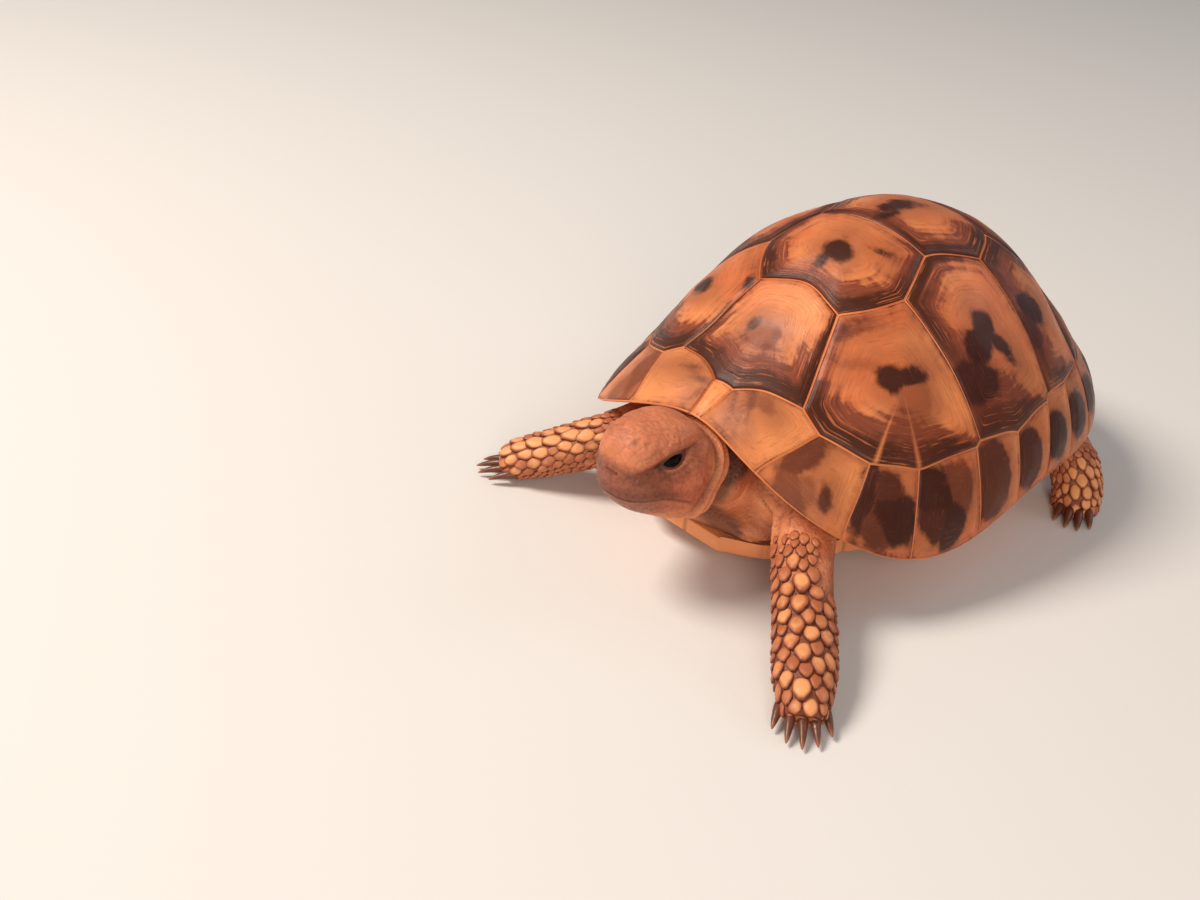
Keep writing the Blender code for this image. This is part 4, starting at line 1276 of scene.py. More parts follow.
# soft masses between the limbs and the trunk: centre, radii
MASSES = (
    ((0.116, -0.362, 0.102), (0.080, 0.064, 0.060)),
    ((-0.116, -0.356, 0.102), (0.080, 0.062, 0.060)),
    ((0.000, -0.360, 0.094), (0.165, 0.075, 0.050)),
    ((0.000, -0.434, 0.048), (0.100, 0.042, 0.032)),
    ((0.072, -0.416, 0.048), (0.086, 0.046, 0.032)),
    ((-0.072, -0.416, 0.048), (0.086, 0.046, 0.032)),
    ((0.000, -0.400, 0.072), (0.105, 0.060, 0.034)),
    ((0.150, 0.250, 0.115), (0.100, 0.095, 0.072)),
    ((-0.150, 0.262, 0.115), (0.100, 0.095, 0.072)),
    ((0.000, 0.345, 0.086), (0.120, 0.062, 0.046)),
)
TRUNK_RINGS = (0.16, 0.38, 0.60, 0.74, 0.83)
TRUNK_SKIRT = (((1.00, 0.88, 0.98), 0.064), ((1.00, 0.71, 0.93), 0.018), ((0.97, 0.56, 0.84), 0.0))
TRUNK_GAP = 0.0006

MOUTH_LINE = (
    (-0.700, 0.157), (-0.655, 0.155), (-0.625, 0.155), (-0.600, 0.151), (-0.570, 0.140),
    (-0.545, 0.127), (-0.520, 0.114),
)
EYE_OPENING = (0.0305, 0.0112, 0.0125)
EYE_TILT = math.radians(10)
EYE_POINTED = 1.42
# skin folds behind the jaw: the first groove's course (height, along), then each fold's place
# behind it, half width and height
FOLD_COURSE = (
    (0.04, -0.510), (0.084, -0.527), (0.131, -0.526), (0.161, -0.504), (0.20, -0.482), (0.24, -0.468),
)
FOLDS = (
    (0.0000, 0.0058, -0.0110),
    (0.0130, 0.0055, 0.0050),
    (0.0215, 0.0034, -0.0055),
    (0.0300, 0.0045, 0.0045),
    (0.0540, 0.0140, -0.0230),
)
SITE_TRIES = 5000
NOSTRIL = (0.0105, -0.667, 0.197)
NOSTRIL_SIZE = 0.0042
BROW = (0.060, -0.600, 0.243)
EAR = (0.077, -0.520, 0.168)


def limb_rings(rows, grow=0.0, rings=LIMB_RINGS, sides=LIMB_SIDES):
    """Rings across a limb's path, its broad side level, grown outwards by grow metres."""
    path = through(rows, rings)
    centres = place(path[:, :3])
    run = centres[-1] - centres[0]
    broad = unit(np.array([run[1], -run[0], 0.0]))
    ahead = unit(np.gradient(centres, axis=0))
    thick = unit(np.cross(broad, ahead))
    angle = 2 * math.pi * (np.arange(sides) + 0.5) / sides
    wide = path[:, 3, None] * SHELL_LENGTH + grow
    deep = path[:, 4, None] * SHELL_LENGTH + grow
    return (
        centres[:, None]
        + (wide * np.cos(angle))[..., None] * broad
        + (deep * np.sin(angle))[..., None] * thick[:, None]
    )


def head_rings():
    rows = through(HEAD, HEAD_GRID[0])
    angle = 2 * math.pi * (np.arange(HEAD_GRID[1]) + 0.5) / HEAD_GRID[1]
    along, half, top, bottom, power = (rows[:, i, None] for i in range(5))
    aside = np.sign(np.cos(angle)) * np.abs(np.cos(angle)) ** (2 / power)
    up = np.sign(np.sin(angle)) * np.abs(np.sin(angle)) ** (2 / power)
    jaw = 1 - JAW_NARROWING * smoothstep(0.0, -1.0, up) * smoothstep(-0.50, -0.56, along)
    points = np.stack([half * aside * jaw, along + 0 * up, (top + bottom) / 2 + (top - bottom) / 2 * up], -1)
    return place(points)


def eye_frame(side):
    """Axes of an eye: outwards, along the slit towards the rear, and up."""
    out = unit(np.array(LIDS_FACE) * (side, 1, 1))
    long = np.array([0.0, math.cos(EYE_TILT), math.sin(EYE_TILT)])
    long = unit(long - out * (long @ out))
    return out, long, side * np.cross(out, long)


def eye_ring(points, side):
    """How far out from the slit each point lies, 1 at the lids' edge, and its height over the slit."""
    middle = np.array(EYE_CENTRE) * (side, 1, 1)
    out, long, high = eye_frame(side)
    away = points - middle
    u, v = away @ long, away @ high
    reach, above, below = EYE_OPENING
    height = np.where(v > 0, above, below)
    ring = (np.abs(u / reach) ** EYE_POINTED + np.abs(v / height) ** EYE_POINTED) ** (1 / EYE_POINTED)
    return np.where(away @ out > 0, ring, 99.0), v


def bump(value, at, half):
    return np.exp(-(((value - at) / half) ** 2))


def shape_eyes(points):
    """Opens the lids over the eyeballs and lays the folds round them."""
    for side in (1, -1):
        middle = np.array(EYE_CENTRE) * (side, 1, 1)
        ring, _ = eye_ring(points, side)
        away = points - middle
        reach = np.linalg.norm(away, axis=1)
        lid = 0.90 + 0.22 * smoothstep(0.98, 1.16, ring) + 0.03 * smoothstep(1.2, 1.5, ring)
        wanted = lid * EYE_RADIUS
        wanted = wanted + (reach - wanted) * smoothstep(1.45, 2.7, ring)
        wanted -= 0.0014 * bump(ring, 1.62, 0.17) + 0.0015 * bump(ring, 2.30, 0.17)
        wanted += 0.0010 * bump(ring, 1.95, 0.15)
        near = ring < 4
        points[near] = middle + away[near] * (wanted[near] / reach[near])[:, None]
    return points


def fold_place(points):
    """How far behind the first fold's course each point lies, in shell lengths."""
    heights, alongs = np.array(FOLD_COURSE).T
    return points[:, 1] - np.interp(points[:, 2], heights, alongs)


def fold_height(points):
    """Outward shift of the neck's skin folds, in shell lengths."""
    behind = fold_place(points)
    total = sum(height * bump(behind, at, half) for at, half, height in FOLDS)
    return total * smoothstep(0.250, 0.215, points[:, 2]) * (1 - 0.45 * smoothstep(0.09, 0.05, points[:, 2]))


def mouth_side(points):
    """Height over the mouth's line, in shell lengths."""
    alongs, heights = np.array(MOUTH_LINE).T
    return points[:, 2] - np.interp(points[:, 1], alongs, heights)


def spread_sites(points, spacing, seed):
    """Sites picked from the points so that each keeps its own spacing from the rest."""
    order = np.random.default_rng(seed).permutation(len(points))[:SITE_TRIES]
    sites = []
    for index in order:
        chosen = np.array([points[i] for i in sites]) if sites else np.full((1, 3), 9.0)
        if np.linalg.norm(chosen - points[index], axis=1).min() > spacing[index]:
            sites.append(index)
    return points[sites]


def cell_seam(points, sites):
    """How near each point is to the seam between the two nearest sites, and the nearest site's number."""
    gaps = np.linalg.norm(points[:, None] - sites[None], axis=2)
    order = np.argpartition(gaps, 1, axis=1)[:, :2]
    two = np.sort(np.take_along_axis(gaps, order, 1), axis=1)
    return two[:, 1] - two[:, 0], gaps.argmin(axis=1)


def head_scale_spacing(points):
    """Spacing of the head's scales: large on the crown, small round the eyes, the nose and the throat."""
    spacing = np.full(len(points), 0.0125)
    crown = smoothstep(0.225, 0.255, points[:, 2]) * smoothstep(-0.46, -0.50, points[:, 1])
    spacing += 0.0105 * crown
    for side in (1, -1):
        ring, _ = eye_ring(points, side)
        spacing -= 0.0055 * smoothstep(3.2, 2.0, ring)
    spacing -= 0.0040 * smoothstep(0.11, 0.08, points[:, 2])
    return np.maximum(spacing, 0.0060)


def shape_head(mesh):
    """Models the head on its smooth sweep: beak, mouth, nostrils, lids, brow, ear, folds and scales."""
    points = (points_of(mesh) - ORIGIN) / SHELL_LENGTH
    normals = normals_of(mesh)
    x, y, z = points.T
    over = mouth_side(points)
    before = smoothstep(-0.515, -0.545, y)
    shift = fold_height(points)
    shift += before * (-0.0022 * bump(over, 0.0, 0.0015) + 0.0012 * bump(over, 0.0050, 0.0036))
    shift -= before * 0.0016 * smoothstep(-0.001, -0.008, over) * smoothstep(-0.045, -0.020, over)
    brow = bump(np.abs(x), BROW[0], 0.017) * bump(y, BROW[1], 0.036) * bump(z, BROW[2], 0.014)
    cheek = bump(y, -0.545, 0.022) * bump(z, 0.150, 0.028)
    shift += 0.0042 * brow + 0.0030 * cheek
    ear = np.hypot(y - EAR[1], z - EAR[2])
    eardrum = 0.0010 * bump(ear, 0.0145, 0.003) - 0.0012 * smoothstep(0.013, 0.009, ear)
    shift += np.where(np.abs(x) > 0.04, eardrum, 0)
    for side in (1, -1):
        gap = np.linalg.norm(points - np.array(NOSTRIL) * (side, 1, 1), axis=1)
        shift -= 0.0050 * smoothstep(NOSTRIL_SIZE, NOSTRIL_SIZE * 0.4, gap)
        shift += 0.0006 * bump(gap, NOSTRIL_SIZE * 1.3, 0.0014)
    crown = smoothstep(0.225, 0.245, z) * smoothstep(-0.655, -0.635, y) * smoothstep(-0.535, -0.565, y)
    lines = np.array([noise.noise(Vector((p[0] * 60, p[1] * 130, p[2] * 60))) for p in points])
    shift += -0.0022 * crown * bump(lines, 0.0, 0.12)
    sites = spread_sites(points, head_scale_spacing(points), 11)
    seam, _ = cell_seam(points, sites)
    on_head = smoothstep(-0.495, -0.515, y)
    on_skin = 1 - before * smoothstep(0.013, 0.006, np.abs(over)) * smoothstep(-0.58, -0.61, y)
    shift += (0.0005 * smoothstep(0.0, 0.0055, seam) - 0.0003) * on_head * on_skin
    shift *= 1 - np.maximum(*(smoothstep(1.9, 1.2, eye_ring(points, side)[0]) for side in (1, -1)))
    points = points + normals * shift[:, None]
    set_points(mesh, place(shape_eyes(points)))
    return sites


def head_mesh():
    bm = sweep(head_rings())
    sockets = []
    for edge in bm.edges:
        middle = (np.array((edge.verts[0].co + edge.verts[1].co) / 2) - ORIGIN) / SHELL_LENGTH
        _, along, up = EYE_CENTRE
        away = math.hypot(middle[1] - along, (middle[2] - up) * 1.35)
        if away < 0.036 and abs(middle[0]) > 0.03:
            sockets.append(edge)
    bmesh.ops.subdivide_edges(bm, edges=sockets, cuts=1, use_grid_fill=True)
    bmesh.ops.triangulate(bm, faces=[face for face in bm.faces if len(face.verts) > 4])
    mesh = new_mesh("head_skin", bm)
    return mesh, shape_head(mesh)


def ball(centre, radii):
    bm = bmesh.new()
    size = Matrix.Diagonal((*(radius * SHELL_LENGTH for radius in radii), 1))
    placed = Matrix.Translation(place(centre)) @ size
    bmesh.ops.create_icosphere(bm, subdivisions=4, radius=1.0, matrix=placed)
    return bm


def trunk_rings(sides=60):
    """The body inside the shell: the dome's inner face, closed over the belly plate."""
    turn = 2 * math.pi * np.arange(sides) / sides
    depth = np.full(sides, -(SHELL_WALL + TRUNK_GAP))
    aside, behind = np.sin(turn), -np.cos(turn)
    rings = [dome_points(np.stack([reach * aside, reach * behind, depth], 1)) for reach in TRUNK_RINGS]
    centre = place((0, WIDEST_AT, 0))
    wall = rings[-1]
    for shares, height in TRUNK_SKIRT:
        low = BELLY_CLEARANCE + BELLY_PLATE + TRUNK_GAP + height * SHELL_LENGTH
        ring = centre + (wall - centre) * blend(shares, turn)[:, None]
        ring[:, 2] = np.minimum(low, wall[:, 2] - 0.001)
        rings.append(ring)
    return np.array(rings)


def body_mesh():
    """Trunk, limbs, tail and the soft masses between them, melted into one surface."""
    bm = bmesh.new()
    parts = [sweep(trunk_rings())]
    parts += [sweep(limb_rings(rows, -LIMB_INSET)) for rows in LIMBS.values()]
    parts += [ball(*mass) for mass in MASSES]
    for part in parts:
        mesh = new_mesh("part", part)
        bm.from_mesh(mesh)
        bpy.data.meshes.remove(mesh)
    melted = made_by_modifiers(
        new_mesh("body", bm),
        ("REMESH", {"mode": "VOXEL", "voxel_size": sizes().skin_voxel}),
        ("SMOOTH", {"factor": 0.5, "iterations": 5}),
    )
    return melted


def beside_neck(points):
    """Which points, in shell lengths, lie on the loose skin between neck and forelegs."""
    return (points[:, 1] < -0.33) & (points[:, 1] > -0.53) & (np.abs(points[:, 0]) > 0.085)


def wrinkle(points):
    """Soft creases of the loose skin between neck and forelegs, in shell lengths."""
    x, y, z = points.T
    loose = bump(np.abs(x), 0.150, 0.055) * smoothstep(-0.34, -0.38, y) * smoothstep(-0.52, -0.47, y)
    run = np.abs(x) * 0.75 - y * 0.45
    over = z * 0.9 + np.abs(x) * 0.45
    lines = np.array([noise.noise(Vector((a * 9, b * 42, c))) for a, b, c in zip(run, over, np.sign(x) * 3)])
    return 0.0085 * loose * (bump(lines, 0.25, 0.16) - bump(lines, 0.0, 0.10))


def skin_mesh():
    """The whole skin, and the middles of the head's scales."""
    head, sites = head_mesh()
    mesh = united(body_mesh(), head)
    mesh.name = "skin"
    points = points_of(mesh)
    local = (points - ORIGIN) / SHELL_LENGTH
    loose = beside_neck(local)
    points[loose] += normals_of(mesh)[loose] * (wrinkle(local[loose]) * SHELL_LENGTH)[:, None]
    points[:, 2] = np.maximum(points[:, 2], SKIN_OVER_FLOOR)
    set_points(mesh, points)
    return mesh, sites


def mark_skin(mesh, sites):
    """Stores what the skin's colours follow: beak, lids, folds, paler throat and limbs, and painted light and
    shade.
    """
    points = (points_of(mesh) - ORIGIN) / SHELL_LENGTH
    x, y, z = points.T
    over = mouth_side(points)
    front = smoothstep(-0.500, -0.520, y)
    # the beak's own darker horn, spread over the snout side below the ridge, where it is also painted shade
    beak = smoothstep(-0.560, -0.625, y) * smoothstep(0.222, 0.206, z) * smoothstep(0.108, 0.118, z)
    lit = smoothstep(0.214, 0.236, z) * smoothstep(-0.500, -0.530, y)
    lit += 0.6 * bump(y, -0.520, 0.026) * bump(z, 0.215, 0.030)
    lip = smoothstep(-0.53, -0.56, y) * bump(over, 0.0, 0.0030)
    dark = 0.60 * lip + 0.45 * smoothstep(-0.54, -0.60, y) * bump(over, 0.010, 0.010)
    pale = 0.9 * smoothstep(0.125, 0.095, z) * smoothstep(-0.34, -0.42, y) * smoothstep(0.24, 0.16, np.abs(x))
    # painted highlight along the lower jaw's edge under the mouth
    pale += 0.5 * smoothstep(-0.53, -0.57, y) * bump(over, -0.010, 0.0045)
    # painted shade in the grooves of the neck's folds, painted light on their crests
    folds = fold_height(points) * smoothstep(-0.36, -0.42, y) * smoothstep(0.125, 0.105, np.abs(x))
    dark += np.clip(-folds / 0.008, 0, 1) * 0.8
    pale += np.clip(folds / 0.0035, 0, 1) * 0.75
    # painted shadow in the hollow between the neck and the shell's rim
    behind = fold_place(points)
    hollow_shadow = smoothstep(0.038, 0.052, behind) * smoothstep(0.115, 0.085, behind) * smoothstep(0.115, 0.155, z)
    on_neck = smoothstep(0.130, 0.112, np.abs(x)) * smoothstep(-0.36, -0.42, y)
    dark += 1.1 * hollow_shadow * on_neck
    # painted shade under the bag below each eye
    mirrored = np.stack([np.abs(x), y, z], 1)
    shade_under_bag = bump(eye_ring(mirrored, 1)[0], 2.6, 0.35) * smoothstep(0.0, -0.006, z - EYE_CENTRE[2])
    dark += 0.30 * shade_under_bag
    on_limb = smoothstep(0.20, 0.26, np.abs(x)) * smoothstep(0.085, 0.050, z)
    dark += 0.62 * on_limb
    loose = np.zeros(len(points))
    shoulder = beside_neck(points)
    loose[shoulder] = wrinkle(points[shoulder])
    # painted shade in the creases of the loose skin by the neck, painted light on its crests
    dark += np.clip(-loose / 0.006, 0, 1) * 0.4
    pale += np.clip(loose / 0.006, 0, 1) * 0.5
    for side in (1, -1):
        ring, height = eye_ring(points, side)
        upper = smoothstep(-0.004, 0.004, height)
        # painted shadow of the upper lid above the eye, the lids' own dark edge, and painted shade in the
        # fold round the eye
        dark += 0.80 * smoothstep(1.75, 1.15, ring) * upper + 0.9 * smoothstep(1.16, 1.02, ring)
        dark += 0.55 * bump(ring, 1.72, 0.15) * (1 - 0.5 * upper)
        pale += (1 - upper) * bump(ring, 1.28, 0.14) * 1.2
        out, long, high = eye_frame(side)
        away = points - np.array(EYE_CENTRE) * (side, 1, 1)
        run, lift = away @ long / EYE_OPENING[0], away @ high
        behind_eye = smoothstep(0.8, 1.1, run) * smoothstep(2.3, 1.3, run)
        behind_eye *= bump(lift, 0.004 * (run - 1), 0.0026)
        before_eye = smoothstep(-0.8, -1.1, run) * smoothstep(-1.5, -1.1, run)
        before_eye *= bump(lift, -0.0010, 0.0022)
        dark += (0.5 * behind_eye + 0.3 * before_eye) * (away @ out > 0)
        gap = np.linalg.norm(points - np.array(NOSTRIL) * (side, 1, 1), axis=1)
        dark += smoothstep(NOSTRIL_SIZE, NOSTRIL_SIZE * 0.5, gap)
    # painted highlight on the top of the snout, and painted light on the lit crown and the head's top behind
    # the eyes
    pale += 0.55 * bump(y, -0.655, 0.018) * bump(z, 0.222, 0.012)
    dark += 0.5 * bump(x, 0.020, 0.007) * bump(y, -0.642, 0.006) * smoothstep(0.22, 0.235, z)
    pale += 0.40 * lit
    set_fields(mesh, beak=beak, dark=np.clip(dark, 0, 1), pale=np.clip(pale, 0, 1), head=front)
    seam, tone = np.full(len(points), 1.0), np.zeros(len(points))
    near = y < -0.48
    gap, cell = cell_seam(points[near], sites)
    seam[near] = smoothstep(0.0, 0.0034, gap)
    tone[near] = np.random.default_rng(5).uniform(-1, 1, len(sites))[cell]
    set_fields(mesh, seam=seam, tone=tone)


def skin_material():
    """Dry leathery skin: matt, finely pebbled, with a soft waxy sheen; the beak is
    smoother horn in the same sheet."""
    material, tree, shader = new_material("leathery_skin")
    spot = add_node(tree, "ShaderNodeTexCoord").outputs["Object"]
    beak, dark, pale, head = (field_of(tree, name) for name in ("beak", "dark", "pale", "head"))
    cloud = speckle(tree, spot, fineness(5.88), 3.0)
    fleck = speckle(tree, spot, fineness(0.769), 4.0, 0.6)
    # the finest grain of such skin would not show, so its pebbles are drawn as coarse as they need to be
    pebbles = add_node(tree, "ShaderNodeTexVoronoi", {"feature": "F1"}, Vector=spot, Scale=fineness(0.588))
    pebble = pebbles.outputs["Distance"]
    ground = mixed(tree, ramp(tree, cloud, 0.3, 0.7), colour("skin"), colour("skin_pale"))
    ground = mixed(tree, ramp(tree, fleck, 0.45, 0.75, 0.0, 0.35), ground, colour("skin_dark"))
    seam, tone = field_of(tree, "seam"), field_of(tree, "tone")
    plate = mixed(tree, ramp(tree, tone, -1.0, 1.0), linear("#AE5C42"), linear("#CA7352"))
    plate = mixed(tree, ramp(tree, fleck, 0.40, 0.70, 0.0, 0.34), plate, colour("skin_dark"))
    ground = mixed(tree, times(tree, head, 0.80), ground, plate)
    # the pale field: partly the skin's own paler throat and lower lids, partly painted light on the crown,
    # the snout, the jaw's edge and the crests of the folds
    ground = mixed(tree, times(tree, pale, 0.8), ground, colour("skin_pale"))
    between = times(tree, ramp(tree, seam, 0.85, 0.1, 0.0, 0.20), head)
    ground = mixed(tree, between, ground, colour("skin_dark"))
    # the beak's darker horn, which also paints shade on the snout side below the ridge
    horn = mixed(tree, ramp(tree, fleck, 0.3, 0.7), linear("#94523A"), linear("#74402C"))
    ground = mixed(tree, times(tree, beak, 0.8), ground, horn)
    # the dark field: partly the skin's own dark marks (mouth line, lid edges, nostrils, a spot on the snout,
    # the lower limbs), partly painted shade in the folds, the creases, the hollow by the neck and round the
    # eyes
    ground = mixed(tree, times(tree, dark, 0.85), ground, linear("#3E1B10"))
    tree.links.new(ground, shader.inputs["Base Color"])
    rough = ramp(tree, fleck, 0.3, 0.7, 0.50, 0.66)
    rough = reckon(tree, "SUBTRACT", rough, times(tree, beak, 0.16))
    tree.links.new(rough, shader.inputs["Roughness"])
    shader.inputs["IOR"].default_value = 1.45
    shader.inputs["Subsurface Weight"].default_value = 0.12
    shader.inputs["Subsurface Radius"].default_value = (0.0012, 0.0005, 0.0003)
    shader.inputs["Subsurface Scale"].default_value = 1.0
    soft = reckon(tree, "SUBTRACT", 1.0, times(tree, head, 0.7))
    normal = bumped(tree, times(tree, pebble, soft), 0.00022, 0.6)
    normal = bumped(tree, fleck, 0.00010, 0.35, normal)
    tree.links.new(normal, shader.inputs["Normal"])
    return material


class TORTOISE_OT_skin(bpy.types.Operator):
    """Builds the skin of head, neck, body, legs and tail as one sheet"""

    bl_idname = "tortoise.skin"
    bl_label = "Skin"

    def execute(self, context):
        mesh, sites = skin_mesh()
        mark_skin(mesh, sites)
        add_piece("skin", mesh, skin_material(), ["head", "lower_jaw", "neck", "trunk", *LIMBS])
        return {"FINISHED"}


# ---- the scales of the limbs ----

# for each limb: how far down its path the scales begin, the way its large scales face, the half widths
# of the largest and the smallest ones, and the side that stays bare down to a share of the path
SCALED = {
    "foreleg_left": (0.30, (0.36, -0.70, 0.62), 0.00172, 0.00056, (0.70, 0.71, 0.08), 0.56),
    "foreleg_right": (0.30, (-0.30, -0.66, 0.68), 0.00140, 0.00054, (-0.70, 0.71, 0.08), 0.50),
    "hindleg_left": (0.60, (0.55, -0.62, 0.50), 0.00108, 0.00056, (0.3, 0.9, 0.2), 0.66),
    "hindleg_right": (0.60, (-0.55, -0.62, 0.50), 0.00108, 0.00056, (-0.3, 0.9, 0.2), 0.66),
    "tail": (0.45, (0.0, 0.5, 0.8), 0.00070, 0.00050, (0.0, -1.0, 0.0), 0.2),
}
SCALE_SIDES = 14
SCALE_PROFILE = ((0.90, -0.35), (1.00, 0.22), (0.92, 0.58), (0.66, 0.86), (0.32, 1.00))
SAMPLES_PER_SQUARE_MM = 9.0
SOLE_CLEARANCE = 0.0007
SCALE_GAP = 1.03
SCALE_STRETCH = 0.80
SCALES_OVER_FLOOR = 0.0001
PATCH = 0.003
# neighbours' half widths may overlap down to this share of their sum
SCALE_PACKING = 0.90
SCALE_SHUFFLE = 0.00025
# how straight ahead the first scales face, how fast that loosens, and over what share of the path
SPREAD = (0.86, 2.1, 0.26)


def triangles_of(mesh):
    mesh.calc_loop_triangles()
    corners = np.empty(len(mesh.loop_triangles) * 3, np.int32)
    mesh.loop_triangles.foreach_get("vertices", corners)
    return corners.reshape(-1, 3)


def limb_share(points, path):
    """How far along a limb's path each point lies, and its distance from the path in metres."""
    gaps = (points**2).sum(1)[:, None] - 2 * points @ path.T + (path**2).sum(1)
    nearest = gaps.argmin(axis=1)
    return nearest / (len(path) - 1), np.sqrt(np.maximum(gaps.min(axis=1), 0))


def limb_surface(skin, name):
    """The skin's triangles around one limb, and its path in metres."""
    path = place(through(LIMBS[name], 160)[:, :3])
    reach = max(row[3] for row in LIMBS[name]) * SHELL_LENGTH * 1.25
    points = points_of(skin)
    share, gap = limb_share(points, path)
    mine = (gap < reach) & (share > SCALED[name][0] - 0.06)
    triangles = triangles_of(skin)
    return points, triangles[mine[triangles].all(axis=1)], path


def scale_half_width(name, share, normals):
    """The half width of a scale by its place on the limb, in metres."""
    start, face, largest, smallest, _, _ = SCALED[name]
    facing = normals @ unit(np.array(face))
    middling = smallest + (largest - smallest) * 0.52
    size = smallest + (middling - smallest) * smoothstep(-0.10, 0.60, facing)
    size = size + (largest - middling) * smoothstep(0.82, 0.97, facing)
    size = size * (0.50 + 0.50 * smoothstep(start, start + 0.18, share))
    return size * (1 - 0.22 * smoothstep(0.90, 1.0, share))


def throw_sites(points, sizes_of, generator):
    """Sites so that neighbours' half widths just meet, the large ones first."""
    order = np.argsort(-(sizes_of + generator.uniform(0, SCALE_SHUFFLE, len(points))))
    chosen = np.empty((0, 3))
    widths = np.empty(0)
    picked = []
    for index in order:
        if len(picked):
            gaps = np.linalg.norm(chosen - points[index], axis=1)
            if (gaps < (widths + sizes_of[index]) * SCALE_PACKING).any():
                continue
        picked.append(index)
        chosen = np.vstack([chosen, points[index]])
        widths = np.append(widths, sizes_of[index])
    return np.array(picked)


def settle_sites(sites, widths, points):
    """Moves each site to the middle of the points that are nearest to it, larger scales reaching further."""
    for _ in range(3):
        gaps = (points**2).sum(1)[:, None] - 2 * points @ sites.T + (sites**2).sum(1) - widths**2
        owner = gaps.argmin(axis=1)
        count = np.maximum(np.bincount(owner, minlength=len(sites)), 1)
        sums = [np.bincount(owner, points[:, axis], len(sites)) for axis in range(3)]
        middle = np.stack(sums, 1) / count[:, None]
        sites = np.where((count > 2)[:, None], middle, sites)
    return sites


def scale_outline(index, sites, widths, along, across):
    """Reach of a scale in each direction, up to its neighbours' borders, with its length drawn in."""
    offsets = sites - sites[index]
    u, v = offsets @ along * SCALE_STRETCH, offsets @ across
    gap = np.hypot(u, v)
    near = (gap > 1e-6) & (np.linalg.norm(offsets, axis=1) < widths[index] * 2 + 0.0036)
    angle = 2 * math.pi * (np.arange(SCALE_SIDES) + 0.5) / SCALE_SIDES
    border = (gap[near] ** 2 + widths[index] ** 2 - widths[near] ** 2) / (2 * gap[near])
    facing = np.cos(angle[:, None] - np.arctan2(v[near], u[near]))
    reach = np.where(facing > 0.12, border / np.maximum(facing, 0.12), 9.0).min(axis=1)
    reach = np.minimum(np.maximum(reach, widths[index] * 0.35), widths[index] * 1.28)
    reach = 0.5 * reach + 0.25 * (np.roll(reach, 1) + np.roll(reach, -1))
    turn = (angle + math.pi) % (2 * math.pi) - math.pi
    return angle, reach * SCALE_GAP * (1 + 0.30 * bump(turn, 0.0, 0.45))


def blank_scales(count):
    """A mesh of count closed little domes, to be set in place point by point."""
    bm = bmesh.new()
    bmesh.ops.create_circle(bm, cap_ends=False, segments=SCALE_SIDES, radius=1.0)
    edges = list(bm.edges)
    bmesh.ops.holes_fill(bm, edges=edges, sides=0)
    for size, height in SCALE_PROFILE[1:]:
        made = bmesh.ops.extrude_edge_only(bm, edges=edges)["geom"]
        edges = [item for item in made if isinstance(item, bmesh.types.BMEdge)]
        for vertex in {vertex for edge in edges for vertex in edge.verts}:
            vertex.co = (*(vertex.co.xy.normalized() * size), height)
    top = bmesh.ops.holes_fill(bm, edges=edges, sides=0)["faces"]
    bmesh.ops.poke(bm, faces=top)
    bmesh.ops.recalc_face_normals(bm, faces=bm.faces)
    mesh = new_mesh("scale", bm)
    template = points_of(mesh)
    copies = made_by_modifiers(
        mesh,
        ("ARRAY", {"count": count, "use_relative_offset": False, "use_constant_offset": True,
                   "constant_offset_displace": (0.0, 0.0, 10.0)}),
    )
    return copies, template


